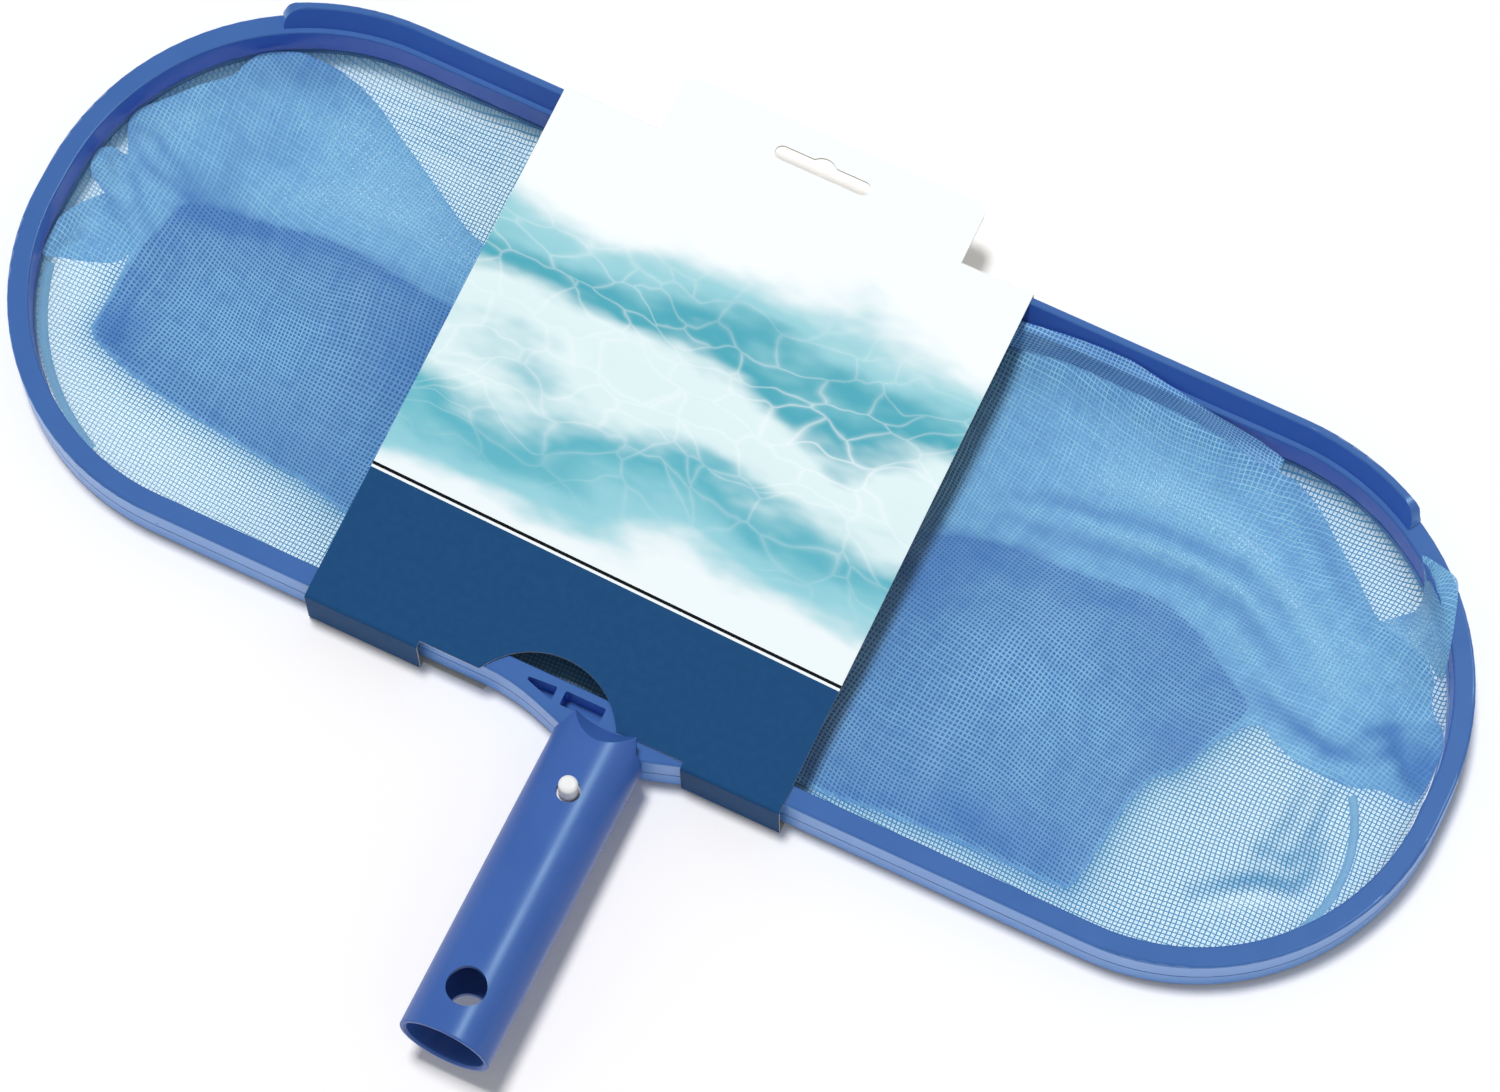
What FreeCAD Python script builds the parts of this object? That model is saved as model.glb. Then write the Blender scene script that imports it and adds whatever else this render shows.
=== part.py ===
"""Leaf skimmer net: a two-part clamped frame, a folded mesh bag, a pole spigot
with a sprung button clip, and the printed board sleeve it is sold in.

Frame of the model: +Z up, +X along the long side of the frame, -Y out of the
spigot's mouth. The origin is on the floor, midway between the ends of the part.
All lengths are in millimetres and all angles in degrees.
"""
import FreeCAD, Part
import math
import os

from FreeCAD import Placement, Rotation, Vector

os.makedirs("parts", exist_ok=True)

# Frame outline. Both depths are measured from one line, and each end has a short
# straight that crosses it.
RING_LENGTH = 457.2
NEAR_DEPTH = 78.3
FAR_DEPTH = 91.2
NEAR_END = 1.3
FAR_END = 7.2
WALL = 6.4

# Board sleeve
BOARD = 0.5
SLEEVE_LEFT = -98.0
SLEEVE_RIGHT = 55.8
SLEEVE_NEAR_GAP = 3.0
SLEEVE_FAR_GAP = 0.3
SLEEVE_NEAR_LIFT = 0.1
SLEEVE_FAR_LIFT = 0.3
SLEEVE_FOLD = 1.2
TAB_MIDDLE = -17.2
TAB_WIDTH = 99.0
TAB_HEIGHT = 19.0
TAB_CORNER = 4.0
TAB_LAYERS = 2
SLOT_WIDTH = 31.0
SLOT_HEIGHT = 4.5
SLOT_UP = 8.2
SLOT_BUMP_R = 5.0
SLOT_BUMP_DOWN = 1.2
WINDOW_R = 25.2
WINDOW_MIDDLE = -19.8
WINDOW_DROP = 9.7
NOTCH_LEFT = -61.4
NOTCH_CLEAR = 1.0
NOTCH_IN = 2.2

# Section of the two clamped halves
FRAME_HEIGHT = 19.5
LOWER_HEIGHT = 9.3
HEM_UP = 7.0
HEM_THICK = 0.8
HEM_GRIP = 0.05
HEM_IN = 0.2
LAP = 3.0
LAP_GAP = 0.05
EDGE_R = 0.9
INNER_EDGE_R = 0.7
SEAT_R = 0.3
SEAM_CUT = 0.35

# Snap pegs that hold the halves together
PEG_R = 0.9
PEG_LENGTH = 5.0
PEG_ROOT = 1.0
PEG_INSET = 1.55
PEG_HOLE_GAP = 0.03
PEG_END_GAP = 0.3
PEG_SIDE_SHARES = (-0.96, -0.58, 0.58, 0.96)
PEG_CORNER_ANGLES = (15.0, 45.0, 75.0)

# Raised scoop edge along the far side
SCOOP_FOOT = 5.3
SCOOP_ROOT = 1.5
SCOOP_RISE = 8.0
SCOOP_OVERHANG = 0.5
SCOOP_THICK = 2.25
SCOOP_FLAT = 2.0
SCOOP_DROP = 4.0
SCOOP_BACK = 0.3
SCOOP_CREST_R = 0.7
SCOOP_LIP_R = 0.9
SCOOP_BACK_R = 0.6
SCOOP_END_IN = 41.6
SCOOP_END_R = 7.5

# Bracket that joins the frame to the spigot
BRACKET_HALF = 13.0
BRACKET_DEPTH = 6.3
BRACKET_SLOPE = 0.33
BRACKET_BLEND = 60.0
BRACKET_FLAT = 18.0
POCKET_FLOOR = 1.8
POCKET_OUT = 0.9
POCKET_IN = 3.7
POCKET_LEAN = 0.9
POCKET_R = 0.6
SIDE_POCKET = (18.9, 30.6)
MIDDLE_POCKET = (3.2, 16.2)

# Spigot tube and its holes, measured along the tube from the mouth
TUBE_R = 14.2
TUBE_WALL = 1.9
TUBE_LENGTH = 105.0
TUBE_DIP = 3.8
MOUTH_HEIGHT = 26.0
ROOT_STAND = 3.2
ROOT_PLUG = 9.0
CROSS_HOLE_AT = 15.2
CROSS_HOLE_R = 6.0
BUTTON_AT = 80.5
BUTTON_HOLE_GAP = 0.75
MOUTH_ROUND = 0.5
BORE_CHAMFER = 0.7
SCALLOP_R = 15.6
SCALLOP_STAND = 9.3
SCALLOP_SLOPE = 58.0
NECK_LENGTH = 3.3
NECK_HALF = 11.4
NECK_NARROWING = 1.4
NECK_CHAMFER = 1.9

# Tongue of the spigot, trapped in the bracket
TENON_WIDTH = 24.0
TENON_HEIGHT = 5.6
TENON_UP = 3.0
TENON_ROOT = 3.0
TENON_IN = 2.8
TENON_GAP = 0.15
SOCKET_GAP = 0.1
SOCKET_END_GAP = 0.3

# Self-tapping screws through the underside of the bracket
SCREW_X = 8.0
SCREW_OUT = 0.1
SCREW_R = 1.5
SCREW_LENGTH = 6.6
SCREW_HEAD_R = 2.8
SCREW_HEAD = 1.4
SCREW_HEAD_ROUND = 0.4
SCREW_SUNK = 0.05
SCREW_GAP = 0.25
SCREW_END_GAP = 0.2
SCREW_SLOT = 0.7
SCREW_SLOT_DEEP = 0.6

# Sprung clip with two buttons
STRIP = 1.6
STRIP_WIDTH = 8.0
CLIP_GAP = 0.8
CLIP_LEG = 3.0
BEND_AT = 38.0
ARM_TAIL = 5.5
TAIL_FLAT = 0.6
KNUCKLE_GAP = 0.05
BUTTON_R = 2.9
BUTTON_PROUD = 6.3
BUTTON_ROUND = 1.7

# Folded net bag, its hem band and its end seams
NET_GAP = 0.3
NET_WALL = 1.0
NET_FLOOR = 2.4
NET_LIFT = 0.2
NET_EDGE_R = 0.6
TAPE_WIDTH = 3.5
TAPE_THICK = 0.6
TAPE_IN = 22.6
TAPE_BOW = 92.0
TAPE_HALF_ANGLE = 20.0
TAPE_Y = 16.0
TAPE_WALL_GAP = 0.1
TAPE_WALL_ANGLES = (195.0, 232.0)

# Working values
TOUCH = 0.01
MARGIN = 1.0
FAR_AWAY = 400.0
QUARTER = math.degrees(math.pi / 2)
HALF_TURN = 2 * QUARTER

HALF_LENGTH = RING_LENGTH / 2
NEAR_CORNER = NEAR_DEPTH - NEAR_END
FAR_CORNER = FAR_DEPTH - FAR_END
NEAR_WALL = -NEAR_DEPTH

FRAME_BASE = BOARD
FRAME_TOP = FRAME_BASE + FRAME_HEIGHT
SEAM = FRAME_BASE + LOWER_HEIGHT
HEM_TOP = FRAME_BASE + HEM_UP
HEM_SEAT = HEM_TOP - HEM_THICK
SCOOP_TOP = FRAME_TOP + SCOOP_RISE
NET_OUTER = WALL + NET_GAP
NET_LOW = FRAME_BASE + NET_LIFT
NET_TOP = NET_LOW + NET_FLOOR

TILT = math.radians(TUBE_DIP)
BORE_R = TUBE_R - TUBE_WALL
BUTTON_HOLE_R = BUTTON_R + BUTTON_HOLE_GAP
STRIP_REACH = BORE_R - CLIP_GAP
ROOT_Y = NEAR_WALL - ROOT_STAND
MOUTH_AXIS_Y = ROOT_Y - TUBE_LENGTH * math.cos(TILT)
MOUTH_Y = MOUTH_AXIS_Y - TUBE_R * math.sin(TILT)

BRACKET_FOOT = BRACKET_HALF + BRACKET_DEPTH / BRACKET_SLOPE
BRACKET_AT_SLEEVE = BRACKET_FOOT - SLEEVE_NEAR_GAP / BRACKET_SLOPE

SLEEVE_NEAR = NEAR_WALL - SLEEVE_NEAR_GAP - BOARD
SLEEVE_FAR = FAR_DEPTH + SCOOP_OVERHANG + SLEEVE_FAR_GAP + BOARD
SLEEVE_NEAR_TOP = FRAME_TOP + SLEEVE_NEAR_LIFT + BOARD
SLEEVE_FAR_TOP = SCOOP_TOP + SLEEVE_FAR_LIFT + BOARD
SLEEVE_PITCH = (SLEEVE_FAR_TOP - SLEEVE_NEAR_TOP) / (SLEEVE_FAR - SLEEVE_NEAR)
TAB_Y = SLEEVE_FAR + TAB_HEIGHT

SHIFT = Vector(0, -(MOUTH_Y + TAB_Y) / 2, 0)


def save(node, shape):
    """Moves a finished shape into the part's frame and writes its file."""
    moved = shape.copy()
    moved.translate(SHIFT)
    solids = moved.Solids
    broken = [s for s in solids if not s.isValid() or s.Volume <= 0]
    print(node, "solids", len(solids), "broken", len(broken), "volume", round(moved.Volume, 1))
    if len(solids) == 1:
        moved = solids[0]
    moved.exportStep(f"parts/{node}.step")


def rounded_polygon(points, radii):
    """Closed wire through 2-D corner points, each rounded by its own radius."""
    count = len(points)
    arcs = []
    starts = []
    ends = []
    for i in range(count):
        here = Vector(*points[i], 0)
        before = Vector(*points[i - 1], 0) - here
        after = Vector(*points[(i + 1) % count], 0) - here
        before.normalize()
        after.normalize()
        if radii[i] == 0:
            starts.append(here)
            ends.append(here)
            arcs.append(None)
            continue
        half = before.getAngle(after) / 2
        reach = radii[i] / math.tan(half)
        inward = before + after
        inward.normalize()
        centre = here + inward * (radii[i] / math.sin(half))
        starts.append(here + before * reach)
        ends.append(here + after * reach)
        arcs.append(Part.Arc(starts[i], centre - inward * radii[i], ends[i]).toShape())
    chain = []
    for i in range(count):
        if arcs[i] is not None:
            chain.append(arcs[i])
        following = starts[(i + 1) % count]
        if ends[i].distanceToPoint(following) > TOUCH / 100:
            chain.append(Part.LineSegment(ends[i], following).toShape())
    return Part.Wire(chain)


def plate(points, radii, low, high):
    """Upright prism over a rounded outline between two heights."""
    face = Part.Face(rounded_polygon(points, radii))
    face.translate(Vector(0, 0, low))
    return face.extrude(Vector(0, 0, high - low))


def box(low, high):
    """Box between two corners."""
    size = Vector(*high) - Vector(*low)
    return Part.makeBox(size.x, size.y, size.z, Vector(*low))


def upright(radius, place, height):
    """Upright cylinder that stands on a place."""
    return Part.makeCylinder(radius, height, place)


def crosswise(radius, centre, width):
    """Cylinder along X with its middle at a centre."""
    return Part.makeCylinder(radius, width, centre - Vector(width / 2, 0, 0), Vector(1, 0, 0))


def section(points, radii):
    """Upright face at Y = 0 from (inset, height) points; the wall is at X = 0."""
    wire = rounded_polygon([(-inset, height) for inset, height in points], radii)
    wire.rotate(Vector(0, 0, 0), Vector(1, 0, 0), QUARTER)
    return Part.Face(wire)


def corners():
    """The four corner arcs of the frame: centre, radius and first angle."""
    near_x = HALF_LENGTH - NEAR_CORNER
    near_y = NEAR_WALL + NEAR_CORNER
    far_x = HALF_LENGTH - FAR_CORNER
    far_y = FAR_DEPTH - FAR_CORNER
    return [
        (Vector(far_x, far_y, 0), FAR_CORNER, 0),
        (Vector(-far_x, far_y, 0), FAR_CORNER, QUARTER),
        (Vector(-near_x, near_y, 0), NEAR_CORNER, 2 * QUARTER),
        (Vector(near_x, near_y, 0), NEAR_CORNER, 3 * QUARTER),
    ]


def direction(angle):
    """Level unit vector at an angle from +X."""
    turn = math.radians(angle)
    return Vector(math.cos(turn), math.sin(turn), 0)


def turn_section(face, corner, first, last):
    """Sweeps a section round one frame corner between two angles."""
    centre, radius, _ = corner
    start = face.copy()
    start.translate(Vector(radius, 0, 0))
    start.rotate(Vector(0, 0, 0), Vector(0, 0, 1), first)
    start.translate(centre)
    return start.revolve(centre, Vector(0, 0, 1), last - first)


def run_section(face, corner, following):
    """Sweeps a section along the straight from one corner to the next."""
    centre, radius, angle = corner
    out = direction(angle + QUARTER)
    first = centre + out * radius
    last = following[0] + out * following[1]
    start = face.copy()
    start.rotate(Vector(0, 0, 0), Vector(0, 0, 1), angle + QUARTER)
    start.translate(first)
    return start.extrude(last - first)


def sweep_frame(face):
    """Sweeps a section round the whole frame as one solid."""
    arcs = corners()
    pieces = []
    for i, corner in enumerate(arcs):
        following = arcs[(i + 1) % len(arcs)]
        pieces.append(turn_section(face, corner, corner[2], corner[2] + QUARTER))
        pieces.append(run_section(face, corner, following))
    return pieces[0].multiFuse(pieces[1:]).removeSplitter()


def slab(inset, low, high):
    """Plate with the frame's outline, moved inwards by an inset."""
    arcs = corners()
    edges = []
    for i, (centre, radius, angle) in enumerate(arcs):
        reach = radius - inset
        first, middle, last = [centre + direction(angle + share * QUARTER) * reach for share in (0, 0.5, 1)]
        edges.append(Part.Arc(first, middle, last).toShape())
        following = arcs[(i + 1) % len(arcs)]
        start = following[0] + direction(following[2]) * (following[1] - inset)
        edges.append(Part.LineSegment(last, start).toShape())
    face = Part.Face(Part.Wire(edges))
    face.translate(Vector(0, 0, low))
    return face.extrude(Vector(0, 0, high - low))


def peg_places():
    """Points round the frame where a snap peg stands."""
    places = []
    for share in PEG_SIDE_SHARES:
        places.append(Vector(share * (HALF_LENGTH - FAR_CORNER), FAR_DEPTH - PEG_INSET, 0))
        places.append(Vector(share * (HALF_LENGTH - NEAR_CORNER), NEAR_WALL + PEG_INSET, 0))
    for centre, radius, first in corners():
        for angle in PEG_CORNER_ANGLES:
            places.append(centre + direction(first + angle) * (radius - PEG_INSET))
    return places


def wall_edges(body, height):
    """Edges of a bracket plate at one height on or outside the frame's near wall."""
    found = []
    for edge in body.Edges:
        bounds = edge.BoundBox
        if bounds.YMax < NEAR_WALL + TOUCH and abs(bounds.ZMin - height) < TOUCH and bounds.ZLength < TOUCH:
            found.append(edge)
    return found


def bracket_plate(low, high, rounded, cut):
    """Half of the bracket, with its outer edge rounded and its seam edge cut back."""
    inside = NEAR_WALL + WALL / 2
    tip = NEAR_WALL - BRACKET_DEPTH
    end = BRACKET_FOOT + BRACKET_FLAT
    points = [(-end, inside), (-end, NEAR_WALL), (-BRACKET_FOOT, NEAR_WALL), (-BRACKET_HALF, tip),
              (BRACKET_HALF, tip), (BRACKET_FOOT, NEAR_WALL), (end, NEAR_WALL), (end, inside)]
    radii = [0, 0, BRACKET_BLEND, 0, 0, BRACKET_BLEND, 0, 0]
    body = plate(points, radii, low, high)
    body = body.makeFillet(EDGE_R, wall_edges(body, rounded))
    return body.makeChamfer(SEAM_CUT, wall_edges(body, cut))


def laid(shape):
    """A shape in the spigot's own axes (+Y from the mouth), laid in the frame."""
    moved = shape.copy()
    place = Placement(Vector(0, MOUTH_AXIS_Y, MOUTH_HEIGHT), Rotation(Vector(1, 0, 0), -TUBE_DIP))
    moved.Placement = place.multiply(moved.Placement)
    return moved


def along_tube(radius, start, stop):
    """Cylinder on the spigot's own axis."""
    return Part.makeCylinder(radius, stop - start, Vector(0, start, 0), Vector(0, 1, 0))


def across_tube(radius, at):
    """Cylinder that crosses the spigot's own axis upright."""
    return upright(radius, Vector(0, at, -2 * TUBE_R), 4 * TUBE_R)


def neck_plan(gap):
    """Tall block with the plan of the spigot, whose root narrows to a neck in the bracket."""
    start = ROOT_Y - NECK_LENGTH
    wide = TUBE_R + MARGIN
    low = start - NECK_CHAMFER * (wide - NECK_HALF) / (TUBE_R - NECK_HALF)
    half, end = NECK_HALF + gap, NECK_HALF - NECK_NARROWING + gap
    points = [(-wide, -FAR_AWAY), (wide, -FAR_AWAY), (wide + gap, low), (half, start), (end, ROOT_Y),
              (end, NEAR_WALL), (-end, NEAR_WALL), (-end, ROOT_Y), (-half, start), (-wide - gap, low)]
    return plate(points, [0] * len(points), -FAR_AWAY, FAR_AWAY)


def socket():
    """Room for the root of the spigot in the bracket."""
    room = laid(along_tube(TUBE_R + SOCKET_GAP, -MARGIN, TUBE_LENGTH + SOCKET_END_GAP))
    return room.common(neck_plan(SOCKET_GAP))


def scallop():
    """Leaning cylinder that hollows the root of the spigot towards the frame."""
    lean = math.radians(SCALLOP_SLOPE)
    down = Vector(0, math.cos(lean), -math.sin(lean))
    off = Vector(0, math.sin(lean), math.cos(lean))
    edge_y = NEAR_WALL - SCALLOP_STAND
    crest = MOUTH_HEIGHT + TUBE_R - (edge_y - MOUTH_AXIS_Y) * math.tan(TILT)
    axis = Vector(0, edge_y, crest) + off * SCALLOP_R
    tool = Part.makeCylinder(SCALLOP_R, 2 * FAR_AWAY, axis - down * FAR_AWAY, down)
    return tool.common(box((-FAR_AWAY, -FAR_AWAY, FRAME_TOP), (FAR_AWAY, FAR_AWAY, FAR_AWAY)))


def tenon(gap):
    """Tongue on the spigot that the two halves of the bracket trap."""
    half = TENON_WIDTH / 2 + gap
    base = FRAME_BASE + TENON_UP
    low = (-half, ROOT_Y - TENON_ROOT, base - gap)
    high = (half, NEAR_WALL + TENON_IN + gap, base + TENON_HEIGHT + gap)
    return box(low, high)


def screw_places():
    """Axes of the two bracket screws."""
    return [Vector(side * SCREW_X, NEAR_WALL - SCREW_OUT, FRAME_BASE) for side in (-1, 1)]


def build_scoop():
    """Raised edge that leans outwards along the far side, with rounded ends."""
    root = FRAME_TOP - SCOOP_ROOT
    points = [(SCOOP_FOOT, root), (SCOOP_THICK - SCOOP_OVERHANG, SCOOP_TOP), (-SCOOP_OVERHANG, SCOOP_TOP),
              (-SCOOP_OVERHANG, SCOOP_TOP - SCOOP_FLAT), (SCOOP_BACK, SCOOP_TOP - SCOOP_DROP),
              (SCOOP_BACK, root)]
    face = section(points, [0, SCOOP_CREST_R, SCOOP_LIP_R, SCOOP_BACK_R, SCOOP_BACK_R, 0])
    far_right, far_left = corners()[:2]
    end_x = HALF_LENGTH - SCOOP_END_IN
    end = math.degrees(math.acos((end_x - far_right[0].x) / FAR_CORNER))
    pieces = [turn_section(face, far_right, end, QUARTER), run_section(face, far_right, far_left),
              turn_section(face, far_left, QUARTER, HALF_TURN - end)]
    body = pieces[0].multiFuse(pieces[1:]).removeSplitter()
    body = body.cut(end_rounding(far_right[0], end, 0))
    return body.cut(end_rounding(far_left[0], HALF_TURN - end, HALF_TURN))


def end_rounding(centre, angle, facing):
    """Tool that rounds the upper corner of the scoop at one of its ends."""
    size = SCOOP_END_R
    block = box((-FAR_CORNER / 2, 0, 0), (FAR_CORNER / 2, size, size + MARGIN))
    tool = block.cut(crosswise(size, Vector(0, size, 0), FAR_CORNER + MARGIN))
    tool.rotate(Vector(0, 0, 0), Vector(0, 0, 1), facing)
    tool.translate(Vector(FAR_CORNER, 0, SCOOP_TOP - size))
    tool.rotate(Vector(0, 0, 0), Vector(0, 0, 1), angle)
    tool.translate(centre)
    return tool


def pocket_outlines():
    """Corner points of the bracket's four blind pockets."""
    near, far = NEAR_WALL - POCKET_OUT, NEAR_WALL + POCKET_IN
    outlines = []
    for side in (-1, 1):
        inner, outer = SIDE_POCKET[0] * side, SIDE_POCKET[1] * side
        outlines.append([(outer, far - POCKET_LEAN), (inner, far), (inner, near)])
        inner, outer = MIDDLE_POCKET[0] * side, MIDDLE_POCKET[1] * side
        outlines.append([(inner, far), (outer, far), (outer, near), (inner, near)])
    return outlines


def build_upper_frame():
    """Upper half: outer skirt, inner lip, scoop edge, bracket top and snap pegs."""
    points = [(0, SEAM + SEAM_CUT), (0, FRAME_TOP), (WALL, FRAME_TOP), (WALL, HEM_TOP), (LAP, HEM_TOP),
              (LAP, SEAM), (SEAM_CUT, SEAM)]
    body = sweep_frame(section(points, [0, EDGE_R, INNER_EDGE_R, SEAT_R, 0, 0, 0]))
    bracket = bracket_plate(SEAM, FRAME_TOP, FRAME_TOP, SEAM)
    body = body.fuse(bracket).fuse(build_scoop()).removeSplitter()
    for outline in pocket_outlines():
        pocket = plate(outline, [POCKET_R] * len(outline), SEAM + POCKET_FLOOR, FRAME_TOP + MARGIN)
        body = body.cut(pocket)
    foot = Vector(0, 0, SEAM - PEG_LENGTH)
    pegs = [upright(PEG_R, place + foot, PEG_LENGTH + PEG_ROOT) for place in peg_places()]
    return body.multiFuse(pegs).cut(socket()).cut(tenon(TENON_GAP))


def build_lower_frame():
    """Lower half: outer wall, hem seat, bracket bottom, peg holes and screw recesses."""
    lap = LAP - LAP_GAP
    points = [(0, FRAME_BASE), (WALL, FRAME_BASE), (WALL, HEM_SEAT), (lap, HEM_SEAT), (lap, SEAM),
              (SEAM_CUT, SEAM), (0, SEAM - SEAM_CUT)]
    body = sweep_frame(section(points, [EDGE_R, INNER_EDGE_R, SEAT_R, 0, 0, 0, 0]))
    bracket = bracket_plate(FRAME_BASE, SEAM, FRAME_BASE, SEAM)
    above_hem = box((-FAR_AWAY, NEAR_WALL + lap, HEM_SEAT), (FAR_AWAY, 0, SEAM + MARGIN))
    body = body.fuse(bracket.cut(above_hem)).removeSplitter()
    foot = Vector(0, 0, SEAM - PEG_LENGTH - PEG_END_GAP)
    depth = PEG_LENGTH + PEG_END_GAP + MARGIN
    holes = [upright(PEG_R + PEG_HOLE_GAP, place + foot, depth) for place in peg_places()]
    for place in screw_places():
        holes.append(upright(SCREW_R + SCREW_GAP, place, SCREW_LENGTH))
        holes.append(upright(SCREW_HEAD_R + SCREW_GAP, place, SCREW_HEAD))
    return body.cut(Part.makeCompound(holes)).cut(socket()).cut(tenon(TENON_GAP))


def build_spigot():
    """Tube with its blind bore, cross holes, hollowed root and trapped tongue."""
    body = along_tube(TUBE_R, 0, TUBE_LENGTH)
    mouth = [edge for edge in body.Edges if edge.BoundBox.YMax < TOUCH]
    body = body.makeFillet(MOUTH_ROUND, mouth)
    body = body.cut(along_tube(BORE_R, -MARGIN, TUBE_LENGTH - ROOT_PLUG))
    lead_in = Part.makeCone(BORE_R + BORE_CHAMFER, BORE_R, BORE_CHAMFER, Vector(0, 0, 0), Vector(0, 1, 0))
    body = body.cut(lead_in)
    body = body.cut(across_tube(CROSS_HOLE_R, CROSS_HOLE_AT))
    body = body.cut(across_tube(BUTTON_HOLE_R, BUTTON_AT))
    body = laid(body).common(neck_plan(0)).fuse(tenon(0)).cut(scallop())
    for place in screw_places():
        body = body.cut(upright(SCREW_R, place, SCREW_LENGTH + SCREW_END_GAP))
    return body.removeSplitter()


def build_screws():
    """Two pan-head self-tapping screws, each with a driver slot."""
    screws = []
    for place in screw_places():
        seat = place + Vector(0, 0, SCREW_SUNK)
        head = upright(SCREW_HEAD_R, seat, SCREW_HEAD - SCREW_SUNK)
        rim = [edge for edge in head.Edges if edge.BoundBox.ZMax < seat.z + TOUCH]
        head = head.makeFillet(SCREW_HEAD_ROUND, rim)
        shank = upright(SCREW_R, seat, SCREW_LENGTH - SCREW_SUNK)
        reach, half = Vector(SCREW_HEAD_R, 0, 0), Vector(0, SCREW_SLOT / 2, 0)
        slot = box(place - reach - half, place + reach + half + Vector(0, 0, SCREW_SLOT_DEEP))
        screws.append(head.fuse(shank).cut(slot).removeSplitter())
    return Part.makeCompound(screws)


def knuckle(side):
    """Where one arm of the clip flexes, in the spigot's own axes."""
    return Vector(0, BEND_AT + CLIP_LEG, side * (STRIP_REACH - STRIP / 2))


def strip(side, start, stop):
    """Straight stretch of the clip's strip above or below the spigot's axis."""
    low, high = sorted((side * (STRIP_REACH - STRIP), side * STRIP_REACH))
    return box((-STRIP_WIDTH / 2, start, low), (STRIP_WIDTH / 2, stop, high))


def build_clip_bend():
    """U-shaped bend of the clip, with a hollow seat at the end of each leg."""
    centre = Vector(0, BEND_AT, 0)
    bend = crosswise(STRIP_REACH, centre, STRIP_WIDTH)
    bend = bend.cut(crosswise(STRIP_REACH - STRIP, centre, STRIP_WIDTH))
    bend = bend.cut(box((-STRIP_WIDTH, BEND_AT, -TUBE_R), (STRIP_WIDTH, BEND_AT + TUBE_R, TUBE_R)))
    for side in (-1, 1):
        bend = bend.fuse(strip(side, BEND_AT, BEND_AT + CLIP_LEG))
        bend = bend.cut(crosswise(STRIP / 2 + KNUCKLE_GAP, knuckle(side), STRIP_WIDTH))
    return laid(bend.removeSplitter())


def build_clip_arm(side):
    """Arm of the clip with its round-topped button."""
    turn = knuckle(side)
    end = BUTTON_AT + ARM_TAIL
    arm = strip(side, turn.y, end)
    tail = [edge for edge in arm.Edges
            if edge.BoundBox.YMin > end - TOUCH and edge.BoundBox.ZLength > STRIP - TOUCH]
    arm = arm.makeFillet(STRIP_WIDTH / 2 - TAIL_FLAT, tail)
    height = TUBE_R + BUTTON_PROUD - abs(turn.z)
    stem = Part.makeCylinder(BUTTON_R, height, Vector(0, BUTTON_AT, turn.z), Vector(0, 0, side))
    crown = [edge for edge in stem.Edges
             if edge.BoundBox.ZLength < TOUCH and side * edge.BoundBox.ZMin > TUBE_R]
    stem = stem.makeFillet(BUTTON_ROUND, crown)
    arm = arm.fuse(crosswise(STRIP / 2, turn, STRIP_WIDTH))
    return laid(arm.fuse(stem).removeSplitter())


def build_hem():
    """Hem band of the net, clamped between the halves and standing on the bag's edge."""
    top = HEM_TOP - HEM_GRIP
    low = HEM_SEAT + HEM_GRIP
    inner = NET_OUTER + NET_WALL
    points = [(LAP + HEM_IN, low), (LAP + HEM_IN, top), (inner, top), (inner, NET_TOP),
              (NET_OUTER, NET_TOP), (NET_OUTER, low)]
    return sweep_frame(section(points, [0, 0, SEAT_R, 0, 0, 0]))


def build_net():
    """The bag folded flat inside the frame, as one slab of layers."""
    body = slab(NET_OUTER, NET_LOW, NET_TOP)
    rim = [edge for edge in body.Edges if edge.BoundBox.ZMax < NET_LOW + TOUCH]
    return body.makeFillet(NET_EDGE_R, rim)


def build_seam_tapes():
    """Binding tapes over the bag's end seams: one along the left wall, one across the right folds."""
    corner, radius, _ = corners()[2]
    at_wall = (corner, radius - NET_OUTER - NET_WALL - TAPE_WALL_GAP, TAPE_WALL_ANGLES)
    middle = Vector(HALF_LENGTH - TAPE_IN - TAPE_BOW, -TAPE_Y, 0)
    tapes = []
    for centre, bow, ends in (at_wall, (middle, TAPE_BOW, (-TAPE_HALF_ANGLE, TAPE_HALF_ANGLE))):
        foot = centre + Vector(0, 0, NET_TOP)
        ring = upright(bow, foot, TAPE_THICK).cut(upright(bow - TAPE_WIDTH, foot, TAPE_THICK))
        reach = [foot + direction(angle) * 2 * bow for angle in ends]
        wedge = Part.Face(Part.makePolygon([foot, *reach, foot]))
        tapes.append(ring.common(wedge.extrude(Vector(0, 0, TAPE_THICK))))
    return Part.makeCompound(tapes)


def band_face(inset):
    """Face across the sleeve's band, moved inwards by an inset."""
    near, far = SLEEVE_NEAR + inset, SLEEVE_FAR - inset
    points = [(near, inset), (far, inset), (far, SLEEVE_FAR_TOP - inset), (near, SLEEVE_NEAR_TOP - inset)]
    wire = rounded_polygon(points, [SLEEVE_FOLD - inset] * len(points))
    wire.rotate(Vector(0, 0, 0), Vector(1, 1, 1), HALF_TURN * 2 / 3)
    return Part.Face(wire)


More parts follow.
